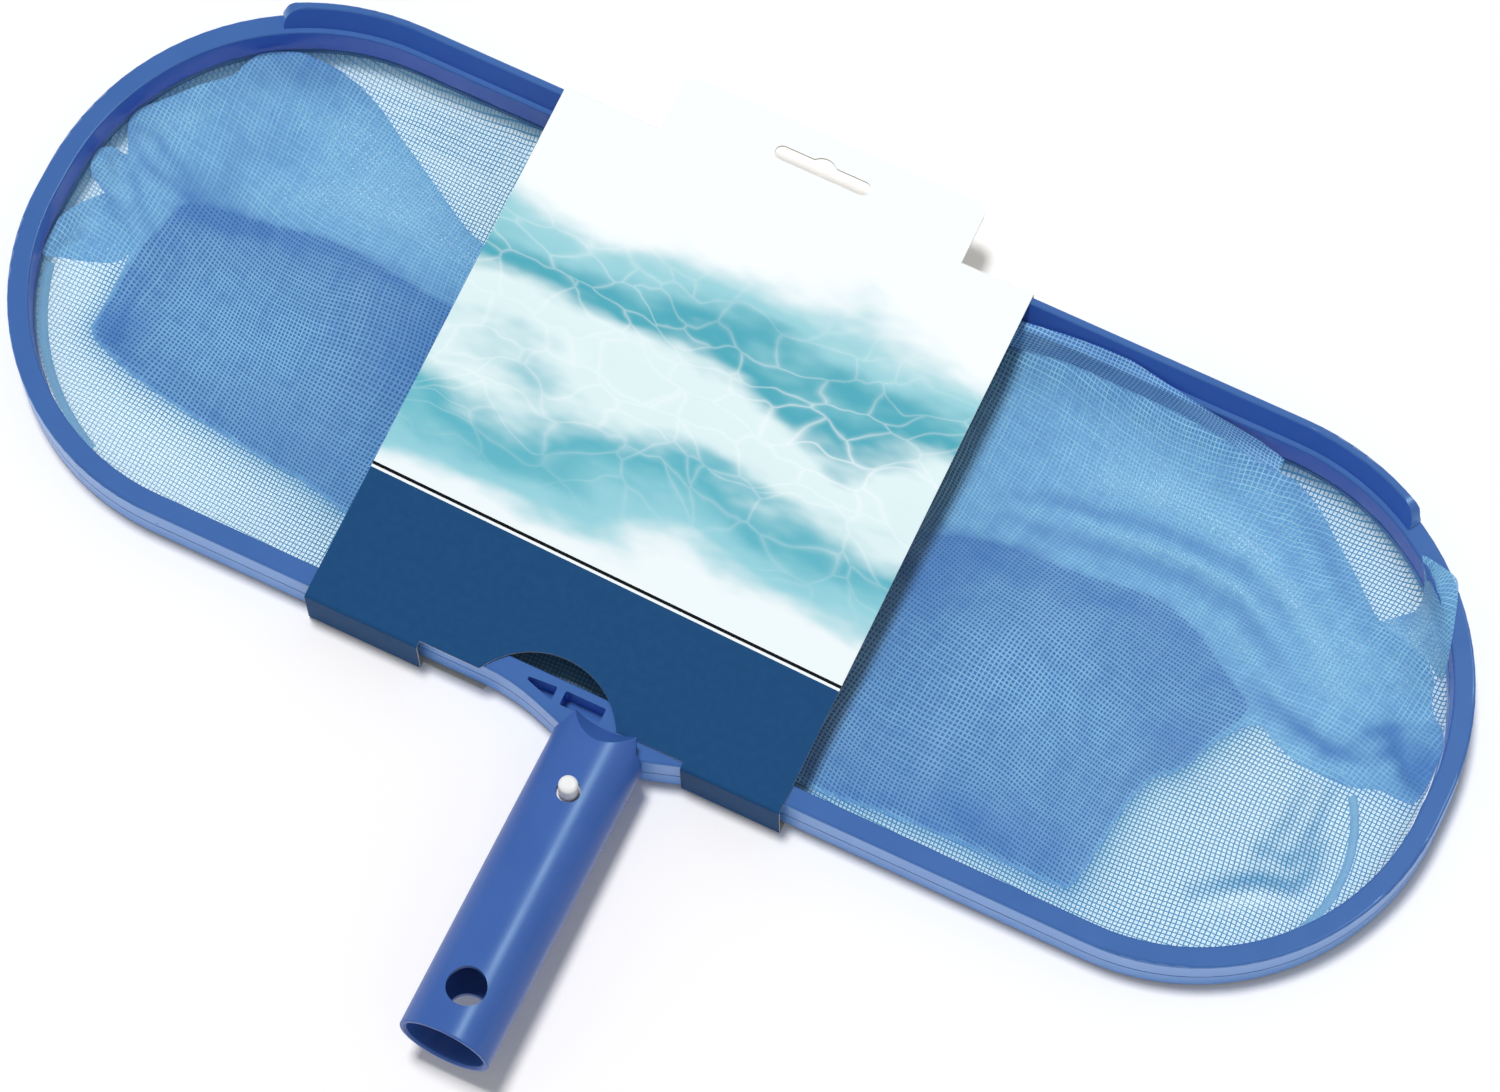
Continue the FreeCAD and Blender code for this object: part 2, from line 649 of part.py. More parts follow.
def build_sleeve():
    """Printed board sleeve: a closed band with its hang tab, slot and cut-outs."""
    outside, inside = band_face(0), band_face(BOARD)
    outside.translate(Vector(SLEEVE_LEFT, 0, 0))
    inside.translate(Vector(SLEEVE_LEFT - MARGIN, 0, 0))
    width = SLEEVE_RIGHT - SLEEVE_LEFT
    hollow = inside.extrude(Vector(width + 2 * MARGIN, 0, 0))
    band = outside.extrude(Vector(width, 0, 0)).fuse(hang_tab())
    band = band.cut(hollow).removeSplitter()
    below = Vector(WINDOW_MIDDLE, SLEEVE_NEAR - WINDOW_DROP, -MARGIN)
    window = upright(WINDOW_R, below, FAR_AWAY)
    notch = box((NOTCH_LEFT, SLEEVE_NEAR - MARGIN, -MARGIN),
                (BRACKET_AT_SLEEVE + NOTCH_CLEAR, SLEEVE_NEAR + NOTCH_IN, FAR_AWAY))
    return band.cut(window).cut(notch)


def hang_tab():
    """Tab of two glued layers in the plane of the front panel, with a hanging slot."""
    thick = TAB_LAYERS * BOARD
    left, right = TAB_MIDDLE - TAB_WIDTH / 2, TAB_MIDDLE + TAB_WIDTH / 2
    base = SLEEVE_FAR - SLEEVE_FOLD
    points = [(left, base), (right, base), (right, TAB_Y), (left, TAB_Y)]
    tab = plate(points, [0, 0, TAB_CORNER, TAB_CORNER], -thick, 0)
    slot_y = SLEEVE_FAR + SLOT_UP
    half, rise = SLOT_WIDTH / 2, SLOT_HEIGHT / 2
    points = [(TAB_MIDDLE - half, slot_y - rise), (TAB_MIDDLE + half, slot_y - rise),
              (TAB_MIDDLE + half, slot_y + rise), (TAB_MIDDLE - half, slot_y + rise)]
    slot = plate(points, [rise] * len(points), -thick - MARGIN, MARGIN)
    below_bump = Vector(TAB_MIDDLE, slot_y - SLOT_BUMP_DOWN, -thick - MARGIN)
    bump = upright(SLOT_BUMP_R, below_bump, thick + 2 * MARGIN)
    below_slot = box((left, base, -thick - MARGIN), (right, slot_y, MARGIN))
    tab = tab.cut(slot).cut(bump.cut(below_slot))
    tab.rotate(Vector(0, SLEEVE_FAR, 0), Vector(1, 0, 0), math.degrees(math.atan(SLEEVE_PITCH)))
    tab.translate(Vector(0, 0, SLEEVE_FAR_TOP))
    return tab


def show_places():
    """Prints the places that the record states."""
    for name, at in (("mouth", 0), ("cross hole", CROSS_HOLE_AT), ("button", BUTTON_AT)):
        print(name, laid(Part.Vertex(0, at, 0)).Point + SHIFT)
    print("button foot", laid(Part.Vertex(0, BUTTON_AT, TUBE_R)).Point + SHIFT)
    for side in (-1, 1):
        print("knuckle", side, laid(Part.Vertex(knuckle(side))).Point + SHIFT)
    print("slot", TAB_MIDDLE, SLEEVE_FAR + SLOT_UP + SHIFT.y, SLEEVE_FAR_TOP + SLOT_UP * SLEEVE_PITCH)
    print("ends along Y", MOUTH_Y + SHIFT.y, TAB_Y + SHIFT.y, "shift", SHIFT.y)


def main():
    """Builds and saves every piece."""
    save("upper_frame", build_upper_frame())
    save("lower_frame", build_lower_frame())
    save("pole_spigot", build_spigot())
    save("bracket_screws", build_screws())
    save("clip_bend", build_clip_bend())
    save("upper_button_arm", build_clip_arm(1))
    save("lower_button_arm", build_clip_arm(-1))
    save("net_hem", build_hem())
    save("net_bag", build_net())
    save("seam_tapes", build_seam_tapes())
    save("board_sleeve", build_sleeve())
    show_places()


main()
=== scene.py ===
"""Looks of the leaf skimmer net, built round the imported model.

The CAD pieces keep their place and get their finishes here. The folded mesh bag,
its hem band and its seam tapes are modelled as cloth and stand for their plain
solids. Plans are in millimetres from the middle of the ring; pieces are in metres.
"""
import logging
import math
from dataclasses import dataclass, field
from enum import Enum

import bmesh
import bpy
import numpy as np
from mathutils import Matrix, Vector
from mathutils.geometry import delaunay_2d_cdt

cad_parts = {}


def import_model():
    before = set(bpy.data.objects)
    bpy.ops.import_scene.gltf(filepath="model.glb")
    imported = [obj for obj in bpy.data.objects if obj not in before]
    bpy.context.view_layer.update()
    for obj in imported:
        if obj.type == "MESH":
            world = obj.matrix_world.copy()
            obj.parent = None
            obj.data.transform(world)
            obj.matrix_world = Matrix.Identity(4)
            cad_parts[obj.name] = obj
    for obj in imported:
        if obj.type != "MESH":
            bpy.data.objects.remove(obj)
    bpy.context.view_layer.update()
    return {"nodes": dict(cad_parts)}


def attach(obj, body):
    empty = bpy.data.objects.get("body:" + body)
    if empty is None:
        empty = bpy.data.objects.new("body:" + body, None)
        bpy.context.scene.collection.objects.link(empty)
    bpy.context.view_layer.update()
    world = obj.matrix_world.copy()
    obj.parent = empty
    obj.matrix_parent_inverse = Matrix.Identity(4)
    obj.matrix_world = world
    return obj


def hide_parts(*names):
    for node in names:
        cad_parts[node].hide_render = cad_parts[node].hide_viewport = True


LOG = logging.getLogger("leaf_net")

MM = 0.001
RING_Y = 0.037855
RING_TOP = 20.0
FAR_ARC = (144.6, 7.2, 84.0)
NEAR_ARC = (151.6, -1.3, 77.0)
HEM_INSET = 7.25
WALL_INSET = 6.3
BED_LEVEL = 0.75
LAYER_GAP = 0.3

Point = tuple[float, ...]
Shade = tuple[int, int, int]
Socket = bpy.types.NodeSocket
Material = bpy.types.Material
Piece = bpy.types.Object

# Painted highlight on the crests of folds; the same colour fills the gaps of the cloths that use it
CREST_HIGHLIGHT: Shade = (160, 208, 232)


class Slot(Enum):
    """Material slots of the record."""

    NET = "net"
    TAPE = "tape"


def srgb(red: int, green: int, blue: int) -> Point:
    """Linear colour of three 8-bit display values, by the standard display curve.

    Args:
        red: Red, from 0 to 255.
        green: Green, from 0 to 255.
        blue: Blue, from 0 to 255.

    Returns:
        The colour as a shader socket takes it.
    """
    shares = [value / 255 for value in (red, green, blue)]
    return (*(s / 12.92 if s <= 0.04045 else ((s + 0.055) / 1.055) ** 2.4 for s in shares), 1.0)


class Graph:
    """Small helper that builds one material's nodes."""

    def __init__(self, name: str) -> None:
        """Starts an empty material with an output node.

        Args:
            name: Name of the material.
        """
        self.material = bpy.data.materials.new(name)
        self.material.use_nodes = True
        self.tree = self.material.node_tree
        self.tree.nodes.clear()
        self.output = self.tree.nodes.new("ShaderNodeOutputMaterial")

    def put(self, socket: Socket, value: object) -> None:
        """Links a socket to another one, or sets it to a constant.

        Args:
            socket: Input socket.
            value: Output socket or a constant.
        """
        if isinstance(value, bpy.types.NodeSocket):
            self.tree.links.new(value, socket)
        else:
            socket.default_value = value

    def node(self, kind: str, inputs: dict[object, object] | None = None, **settings: object) -> bpy.types.Node:
        """Adds a node.

        Args:
            kind: Node type without its "ShaderNode" prefix.
            inputs: Input names or numbers with their links or constants.
            **settings: Properties of the node.

        Returns:
            The node.
        """
        made = self.tree.nodes.new("ShaderNode" + kind)
        for key, value in settings.items():
            setattr(made, key, value)
        for key, value in (inputs or {}).items():
            self.put(made.inputs[key], value)
        return made

    def math(self, operation: str, *values: object, clamp: bool = False) -> Socket:
        """Adds a Math node and returns its result.

        Args:
            operation: Blender's name of the operation.
            *values: Links or constants, in order.
            clamp: Whether the result is held between 0 and 1.

        Returns:
            The result socket.
        """
        made = self.node("Math", dict(enumerate(values)), operation=operation, use_clamp=clamp)
        return made.outputs[0]

    def times(self, first: object, second: object, clamp: bool = False) -> Socket:
        """Product of two values."""
        return self.math("MULTIPLY", first, second, clamp=clamp)

    def line(self, value: object, slope: object, start: object, clamp: bool = False) -> Socket:
        """A value times a slope, plus a start."""
        return self.math("MULTIPLY_ADD", value, slope, start, clamp=clamp)

    def rest(self, value: object) -> Socket:
        """What a value lacks to one, held between 0 and 1."""
        return self.math("SUBTRACT", 1.0, value, clamp=True)

    def gap(self, first: object, second: object) -> Socket:
        """Distance between two values."""
        return self.math("ABSOLUTE", self.math("SUBTRACT", first, second))

    def between(self, value: object, low: float, high: float) -> Socket:
        """One where a value lies between two limits, and zero elsewhere."""
        return self.times(self.math("GREATER_THAN", value, low), self.math("LESS_THAN", value, high))

    def vector(self, operation: str, first: object, second: object) -> Socket:
        """Adds a Vector Math node of two inputs and returns its vector."""
        return self.node("VectorMath", {0: first, 1: second}, operation=operation).outputs[0]

    def faces_away(self, place: object, normal: object, middle: Point, axes: Point) -> Socket:
        """One where a surface looks away from a middle, along some axes, and zero elsewhere.

        Args:
            place: Place of the surface.
            normal: Its normal.
            middle: The middle.
            axes: One for each axis that counts, zero for the others.

        Returns:
            The share.
        """
        reach = self.vector("MULTIPLY", self.vector("SUBTRACT", place, middle), axes)
        facing = self.node("VectorMath", {0: reach, 1: normal}, operation="DOT_PRODUCT").outputs["Value"]
        return self.math("GREATER_THAN", facing, 0.0)

    def levelness(self, normal: object) -> Socket:
        """Size of the upright part of a normal: one on level faces, zero on walls."""
        return self.math("ABSOLUTE", self.node("SeparateXYZ", {0: normal}).outputs["Z"])

    def mix(self, share: object, first: object, second: object) -> Socket:
        """Mixes two colours by a share."""
        made = self.node("Mix", {"Factor": share, 6: first, 7: second}, data_type="RGBA")
        return made.outputs[2]

    def ramp(self, value: object, stops: tuple[tuple[float, Shade], ...]) -> Socket:
        """Adds a colour ramp whose colours ease into each other.

        Args:
            value: Link that runs along the ramp.
            stops: Positions and display colours.

        Returns:
            The colour socket.
        """
        made = self.node("ValToRGB", {"Fac": value})
        ramp = made.color_ramp
        ramp.interpolation = "EASE"
        while len(ramp.elements) < len(stops):
            ramp.elements.new(1.0)
        for element, (place, shade) in zip(ramp.elements, stops):
            element.position = place
            element.color = srgb(*shade)
        return made.outputs["Color"]

    def noise(self, vector: object, scale: float, detail: float = 2.0) -> Socket:
        """Noise of a scale over a vector, from 0 to 1."""
        made = self.node("TexNoise", {"Vector": vector, "Scale": scale, "Detail": detail})
        return made.outputs["Fac"]

    def sway(self, vector: object, scale: float, reach: float) -> Socket:
        """Moves a vector about smoothly.

        Args:
            vector: The vector.
            scale: Scale of the noise that moves it.
            reach: Twice the most that it moves along X and Y.

        Returns:
            The moved vector.
        """
        colour = self.node("TexNoise", {"Vector": vector, "Scale": scale, "Detail": 1.0}).outputs["Color"]
        centred = self.vector("SUBTRACT", colour, (0.5, 0.5, 0.5))
        flat = self.vector("MULTIPLY", centred, (reach, reach, 0.0))
        return self.vector("ADD", vector, flat)

    def bump(self, height: object, distance: float, strength: float) -> Socket:
        """Normal of a surface with a fine relief."""
        made = self.node("Bump", {"Height": height, "Distance": distance, "Strength": strength})
        return made.outputs["Normal"]

    def finish(self, shader: bpy.types.Node) -> Material:
        """Connects the surface and returns the material."""
        self.put(self.output.inputs["Surface"], shader.outputs[0])
        return self.material


@dataclass(frozen=True)
class MouldedPlastic:
    """Glossy moulded plastic with faint mottle, fine moulding texture and painted light and shade on its walls.

    The mottle's contrast is a slope and a start for its noise, and its roughness changes by
    gloss_change. The wall gain says how soon a leaning face counts as level.
    """

    name: str
    colour: Point
    dark: Point
    # wall and outer are painted light and shade: one colour for walls that look inwards, one for walls that look
    # outwards
    wall: Point
    outer: Point
    roughness: float = 0.3
    shine: float = 0.3
    grain: float = 0.02 * MM
    mottle_scale: float = 60.0
    flow_scale: float = 140.0
    fine_scale: float = 900.0
    contrast: Point = (1.4, -0.2)
    gloss_change: float = 0.12
    wall_gain: float = 1.3

    def build(self) -> Material:
        """Makes the material: level faces, and walls that look inwards and outwards with their own painted light and
        shade.

        Returns:
            The material.
        """
        graph = Graph(self.name)
        spot = graph.node("TexCoord").outputs
        mottle = graph.noise(spot["Object"], self.mottle_scale, 3.0)
        level = graph.mix(graph.line(mottle, *self.contrast, clamp=True), self.dark, self.colour)
        # Walls are painted by which way they look: one colour of painted light and shade inwards, another outwards
        outwards = graph.faces_away(spot["Object"], spot["Normal"], (0.0, RING_Y, 0.0), (1.0, 1.0, 0.0))
        steep = graph.rest(graph.times(graph.levelness(spot["Normal"]), self.wall_gain))
        colour = graph.mix(steep, level, graph.mix(outwards, self.wall, self.outer))
        fine = graph.noise(spot["Object"], self.fine_scale)
        flow = graph.noise(spot["Object"], self.flow_scale)
        relief = graph.math("ADD", graph.times(fine, 0.5), flow)
        roughness = graph.line(mottle, self.gloss_change, self.roughness - self.gloss_change / 2)
        return graph.finish(graph.node("BsdfPrincipled", {
            "Base Color": colour, "Roughness": roughness, "IOR": 1.49, "Specular IOR Level": self.shine,
            "Normal": graph.bump(relief, self.grain, 1.0)}))


@dataclass(frozen=True)
class BrushedSteel:
    """Plain screw steel with fine turning marks."""

    name: str = "screw_steel"
    dark: Shade = (168, 170, 174)
    light: Shade = (206, 208, 211)
    mark_scale: float = 2500.0
    roughness: float = 0.22
    mark_change: float = 0.2

    def build(self) -> Material:
        """Makes the material.

        Returns:
            The material.
        """
        graph = Graph(self.name)
        streak = graph.noise(graph.node("TexCoord").outputs["Object"], self.mark_scale)
        return graph.finish(graph.node("BsdfPrincipled", {
            "Base Color": graph.mix(streak, srgb(*self.dark), srgb(*self.light)),
            "Roughness": graph.line(streak, self.mark_change, self.roughness), "Metallic": 1.0}))


@dataclass(frozen=True)
class MeshCloth:
    """Open square weave of round threads, drawn on the cloth's own lengths.

    The colours are display values: of the threads' crowns, of painted shade at the threads' edges and in folds, and
    of painted highlight on crests, which also fills gaps. Width is a thread's share of the pitch, and veil is how far
    the gaps are filled. Drift and wander bend the lines of the threads, over long and short ways. Fold values widen
    the threads and fill the gaps, and paint shade into folds and highlight onto crests. Each thread is painted
    lighter on its crown than at its edges; patches, a slope and a start, vary that, and a random
    value per thread paints single threads brighter, partly as random tone and partly as painted glints.
    """

    name: str
    thread: Shade
    deep: Shade
    pale: Shade
    width: float
    rotation: float = 0.0
    veil: float = 0.0
    drift: float = 0.02
    wander: float = 1.1 * MM
    pitch: float = 1.25 * MM
    drift_scale: float = 9.0
    wander_scale: float = 70.0
    patch_scale: float = 160.0
    patches: Point = (0.8, 0.35)
    glint_chance: float = 0.25
    fold_width: float = 0.55
    fold_colour: float = 0.8
    fold_veil: float = 0.3
    least_width: float = 0.55
    most_half: float = 0.49
    crown_height: float = 0.1 * MM

    def strand(self, graph: Graph, along: Socket, half: Socket) -> tuple[Socket, Socket, Socket]:
        """Threads that cross one direction of the cloth.

        Args:
            graph: Graph of the material.
            along: Length along that direction, in metres.
            half: Half of a thread's share of the pitch.

        Returns:
            Whether a thread is there, its rounded height, and a random value of that thread, which paints its glint.
        """
        count = graph.math("DIVIDE", along, self.pitch)
        across = graph.math("DIVIDE", graph.gap(graph.math("FRACT", count), 0.5), half)
        cover = graph.math("LESS_THAN", across, 1.0)
        crown = graph.math("SQRT", graph.rest(graph.times(across, across)))
        glint_chance = graph.node("TexWhiteNoise", {"W": graph.math("FLOOR", count)}, noise_dimensions="1D").outputs[0]
        return cover, crown, glint_chance

    def build(self) -> Material:
        """Makes the material.

        Returns:
            The material.
        """
        graph = Graph(self.name)
        thread, deep, pale = (srgb(*shade) for shade in (self.thread, self.deep, self.pale))
        uv = graph.node("UVMap", uv_map="weave").outputs["UV"]
        # The fold value carries where layers lie thick, and the painted shade and highlight of the folds
        fold = graph.node("Attribute", attribute_name="fold").outputs["Fac"]
        bent = graph.sway(graph.sway(uv, self.drift_scale, self.drift), self.wander_scale, self.wander)
        turned = graph.node("Mapping", {"Vector": bent, "Rotation": (0.0, 0.0, self.rotation)}).outputs[0]
        axes = graph.node("SeparateXYZ", {0: turned}).outputs
        tight = graph.math("MAXIMUM", graph.line(fold, self.fold_width, 1.0), self.least_width)
        half = graph.math("MINIMUM", graph.times(tight, self.width / 2), self.most_half)
        first, second = (self.strand(graph, axes[axis], half) for axis in "XY")
        cover = graph.math("MAXIMUM", first[0], second[0])
        crown = graph.math("MAXIMUM", first[1], second[1])
        glint_chance = graph.math("ADD", graph.times(first[1], first[2]), graph.times(second[1], second[2]))
        patch = graph.noise(turned, self.patch_scale)
        # Painted shade on each thread: lighter on its crown than at its edges, with single threads painted brighter
        # as glints
        shade = graph.times(crown, graph.line(patch, *self.patches))
        shade = graph.line(glint_chance, self.glint_chance, shade, clamp=True)
        # Painted shade into folds, and painted highlight onto crests where the fold value is below zero
        into_fold = graph.times(fold, self.fold_colour, clamp=True)
        colour = graph.mix(into_fold, graph.mix(shade, deep, thread), deep)
        colour = graph.mix(graph.times(fold, -1.0, clamp=True), colour, pale)
        colour = graph.mix(cover, graph.mix(into_fold, pale, deep), colour)
        body = graph.math("MAXIMUM", cover, graph.line(fold, self.fold_veil, self.veil, clamp=True))
        return graph.finish(graph.node("BsdfPrincipled", {
            "Base Color": colour, "Alpha": body, "Roughness": 0.5, "Sheen Weight": 0.15,
            "Specular IOR Level": 0.35, "Normal": graph.bump(crown, self.crown_height, 0.5)}))


@dataclass(frozen=True)
class PrintedBoard:
    """Coated board, printed outside with pool water and bare grey-brown inside.

    Places are in metres in the part's frame, colours are display values, and the double
    line above the band runs from line_left to line_right in Y. Its white and black parts
    are millimetres above that. The water is a broad stretched noise, and the net of light
    a fine bent one that is brightest at web_middle of the way up.
    """

    name: str = "printed_board"
    near_fold: float = -0.0439
    far_fold: float = 0.1299
    middle: Point = (-0.021, 0.045, 0.012)
    left_edge: float = -0.098
    width: float = 0.1538
    line_left: float = 0.0003
    line_right: float = -0.0030
    cut_reach: float = 1.2 * MM
    cut_slope: float = 0.4
    white_line: Point = (-0.5, 0.35)
    black_line: Point = (0.35, 1.35)
    broad_turn: float = 0.12
    broad_stretch: Point = (0.45, 1.0, 0.0)
    broad_scale: float = 26.0
    broad_reach: float = 0.5
    web_bends: tuple[Point, ...] = ((22.0, 0.03), (80.0, 0.008))
    web_stretch: Point = (1.0, 2.2, 0.0)
    web_scale: float = 52.0
    web_thinness: float = 7.0
    web_sharpness: float = 4.0
    web_middle: float = 0.6
    web_fall: float = 3.6
    web_contrast: Point = (1.4, -0.2)
    ink_scale: float = 420.0
    fibre_scale: float = 1400.0
    buckle_scale: float = 90.0
    relief: float = 0.06 * MM
    web: Shade = (250, 254, 255)
    white: Shade = (244, 249, 250)
    black: Shade = (16, 18, 22)
    band: tuple[Shade, Shade] = ((28, 71, 117), (34, 80, 126))
    bare: tuple[Shade, Shade] = ((196, 190, 168), (224, 218, 198))
    water_stops: tuple[tuple[float, Shade], ...] = (
        (0.27, (240, 247, 248)), (0.36, (150, 208, 218)), (0.44, (100, 182, 197)), (0.53, (224, 242, 243)),
        (0.60, (226, 243, 244)), (0.67, (84, 172, 188)), (0.76, (158, 212, 220)), (0.87, (250, 253, 253)))

    def outside(self, graph: Graph, height: Socket) -> Socket:
        """One on printed faces, which look away from the sleeve's middle, and zero inside and on cut edges.

        Args:
            graph: Graph of the material.
            height: Y of the place, in metres.

        Returns:
            The share.
        """
        spot = graph.node("TexCoord").outputs
        away = graph.faces_away(spot["Object"], spot["Normal"], self.middle, (0.0, 1.0, 1.0))
        edge = graph.math("LESS_THAN", graph.levelness(spot["Normal"]), self.cut_slope)
        off = graph.math("MINIMUM", graph.gap(height, self.near_fold), graph.gap(height, self.far_fold))
        cut = graph.times(edge, graph.math("GREATER_THAN", off, self.cut_reach))
        return graph.times(away, graph.rest(cut))

    def water(self, graph: Graph, place: Socket, along: Socket) -> Socket:
        """Pale to teal water with a net of light, fading to white at both ends.

        Args:
            graph: Graph of the material.
            place: Place in the part's frame.
            along: Share of the way from the near fold to the far fold.

        Returns:
            The colour.
        """
        wide = graph.node("Mapping", {
            "Vector": place, "Rotation": (0.0, 0.0, self.broad_turn), "Scale": self.broad_stretch})
        broad = graph.noise(wide.outputs[0], self.broad_scale, 4.0)
        moved = graph.line(broad, self.broad_reach, -self.broad_reach / 2)
        body = graph.ramp(graph.math("ADD", along, moved), self.water_stops)
        bent = place
        for scale, reach in self.web_bends:
            bent = graph.sway(bent, scale, reach)
        squeezed = graph.node("Mapping", {"Vector": bent, "Scale": self.web_stretch}).outputs[0]
        cells = graph.node("TexVoronoi", {"Vector": squeezed, "Scale": self.web_scale}, feature="DISTANCE_TO_EDGE")
        thin = graph.rest(graph.times(cells.outputs["Distance"], self.web_thinness))
        web = graph.math("POWER", thin, self.web_sharpness)
        middle = graph.rest(graph.times(graph.gap(along, self.web_middle), self.web_fall))
        lit = graph.times(graph.times(web, middle), graph.line(broad, *self.web_contrast))
        return graph.mix(lit, body, srgb(*self.web))

    def front(self, graph: Graph, place: Socket, axes: bpy.types.NodeOutputs) -> Socket:
        """The whole print: water, the double line and the plain band.

        Args:
            graph: Graph of the material.
            place: Place in the part's frame.
            axes: The place's X, Y and Z.

        Returns:
            The colour.
        """
        along = graph.math("DIVIDE", graph.math("SUBTRACT", axes["Y"], self.near_fold),
                           self.far_fold - self.near_fold)
        slope = (self.line_right - self.line_left) / self.width
        line = graph.line(axes["X"], slope, self.line_left - self.left_edge * slope)
        above = graph.math("DIVIDE", graph.math("SUBTRACT", axes["Y"], line), MM)
        band = graph.mix(graph.noise(place, self.ink_scale, 3.0), *(srgb(*shade) for shade in self.band))
        print_colour = graph.mix(graph.math("GREATER_THAN", above, 0.0), band, self.water(graph, place, along))
        print_colour = graph.mix(graph.between(above, *self.white_line), print_colour, srgb(*self.white))
        return graph.mix(graph.between(above, *self.black_line), print_colour, srgb(*self.black))

    def build(self) -> Material:
        """Makes the material.

        Returns:
            The material.
        """
        graph = Graph(self.name)
        place = graph.node("TexCoord").outputs["Object"]
        axes = graph.node("SeparateXYZ", {0: place}).outputs
        fibre = graph.noise(place, self.fibre_scale, 4.0)
        bare = graph.mix(fibre, *(srgb(*shade) for shade in self.bare))
        outside = self.outside(graph, axes["Y"])
        height = graph.math("ADD", graph.times(fibre, 0.3), graph.noise(place, self.buckle_scale))
        return graph.finish(graph.node("BsdfPrincipled", {
            "Base Color": graph.mix(outside, bare, self.front(graph, place, axes)),
            "Roughness": graph.line(outside, -0.2, 0.8), "IOR": 1.45, "Specular IOR Level": 0.08,
            "Normal": graph.bump(height, self.relief, 0.5)}))


@dataclass(frozen=True)
class WhiteGround:
    """Pale floor that shows white to the camera and keeps the soft shadow."""

    name: str = "white_ground"
    colour: Point = (1.0, 0.97, 0.95, 1.0)
    glow: Point = (1.0, 1.0, 1.0, 1.0)
    lift: float = 0.02

    def build(self) -> Material:
        """Makes the material.

        Returns:
            The material.
        """
        graph = Graph(self.name)
        path = graph.node("LightPath").outputs
        seen = graph.math("MAXIMUM", path["Is Camera Ray"], path["Is Glossy Ray"])
        seen = graph.math("MAXIMUM", seen, path["Is Transmission Ray"])
        soft = graph.node("BsdfDiffuse", {"Color": self.colour})
        glow = graph.node("Emission", {"Color": self.glow, "Strength": graph.times(seen, self.lift)})
        return graph.finish(graph.node("AddShader", {0: soft.outputs[0], 1: glow.outputs[0]}))


def ring_outline(inset: float, step: float = 2.0) -> list[Point]:
    """Outline of the ring's plan, moved inwards.

    Args:
        inset: Distance from the frame's outer wall, in millimetres.
        step: Rough distance between points, in millimetres.

    Returns:
        Points in millimetres, going round from +X towards +Y.
    """
    corners = []
    for quarter, (x, y, radius) in enumerate((FAR_ARC, FAR_ARC, NEAR_ARC, NEAR_ARC)):
        x = x if quarter in (0, 3) else -x
        count = max(6, round(radius * math.pi / 2 / step))
        reach = radius - inset
        for i in range(count + 1):
            turn = math.radians(90 * quarter + 90 * i / count)
            corners.append((x + reach * math.cos(turn), y + reach * math.sin(turn)))
    return even_points(corners, step, closed=True)


def even_points(points: list[Point], step: float, closed: bool) -> list[Point]:
    """Points at even distances along a polyline.

    Args:
        points: Polyline of any dimension.
        step: Rough distance between the new points.
        closed: Whether the line returns to its start.

    Returns:
        The new points. A closed line's start isn't repeated.
    """
    line = np.array(points + points[:1] if closed else points, float)
    gaps = np.linalg.norm(np.diff(line[:, :2], axis=0), axis=1)
    apart = gaps > 1e-9
    line, gaps = line[np.concatenate(([True], apart))], gaps[apart]
    along = np.concatenate(([0.0], np.cumsum(gaps)))
    count = max(3, round(along[-1] / step))
    places = np.linspace(0.0, along[-1], count + 1)
    if closed:
        places = places[:-1]
    return [tuple(p) for p in np.stack([np.interp(places, along, line[:, k]) for k in range(line.shape[1])], axis=1)]


def smooth_line(points: tuple[Point, ...], rounds: int = 2, cut: float = 0.2) -> list[Point]:
    """Rounds the corners of a closed polyline by cutting them.

    Args:
        points: Corner points.
        rounds: How many times the corners are cut.
        cut: Share of each side that a cut takes away at each end.

    Returns:
        The smoother line.
    """
    line = np.array(points, float)
    for _ in range(rounds):
        following = np.roll(line, -1, axis=0)
        ends = [(1 - cut) * line + cut * following, cut * line + (1 - cut) * following]
        line = np.stack(ends, axis=1).reshape(-1, line.shape[1])
    return [tuple(p) for p in line]


def shifted(outline: list[Point], inwards: float | np.ndarray) -> list[Point]:
    """Moves a closed outline's plan inwards, and keeps its heights.

    Args:
        outline: Even points with X, Y and, if any, height.
        inwards: Distance, or a column of one for each point, negative to move outwards.

    Returns:
        The moved points.
    """
    line = np.array(outline, float)
    along = np.roll(line, -1, axis=0)[:, :2] - np.roll(line, 1, axis=0)[:, :2]
    area = np.sum(line[:, 0] * np.roll(line[:, 1], -1) - np.roll(line[:, 0], -1) * line[:, 1])
    inner = np.stack([-along[:, 1], along[:, 0]], axis=1) * math.copysign(1.0, area)
    line[:, :2] += inwards * inner / np.linalg.norm(inner, axis=1)[:, None]
    return [tuple(p) for p in line]


def edge_distance(outline: list[Point], x: np.ndarray, y: np.ndarray) -> tuple[np.ndarray, np.ndarray]:
    """Distance to a line of points, and the height of its nearest point.

    Args:
        outline: Even points with X, Y and, if any, height.
        x: X of the places.
        y: Y of the places.

    Returns:
        Distances and heights, with the shape of x.
    """
    nearest = np.full(x.shape, 1e9)
    heights = np.zeros(x.shape)
    for point in outline:
        gap = (x - point[0]) ** 2 + (y - point[1]) ** 2
        closer = gap < nearest
        nearest = np.where(closer, gap, nearest)
        heights = np.where(closer, point[2] if len(point) > 2 else 0.0, heights)
    return np.sqrt(nearest), heights


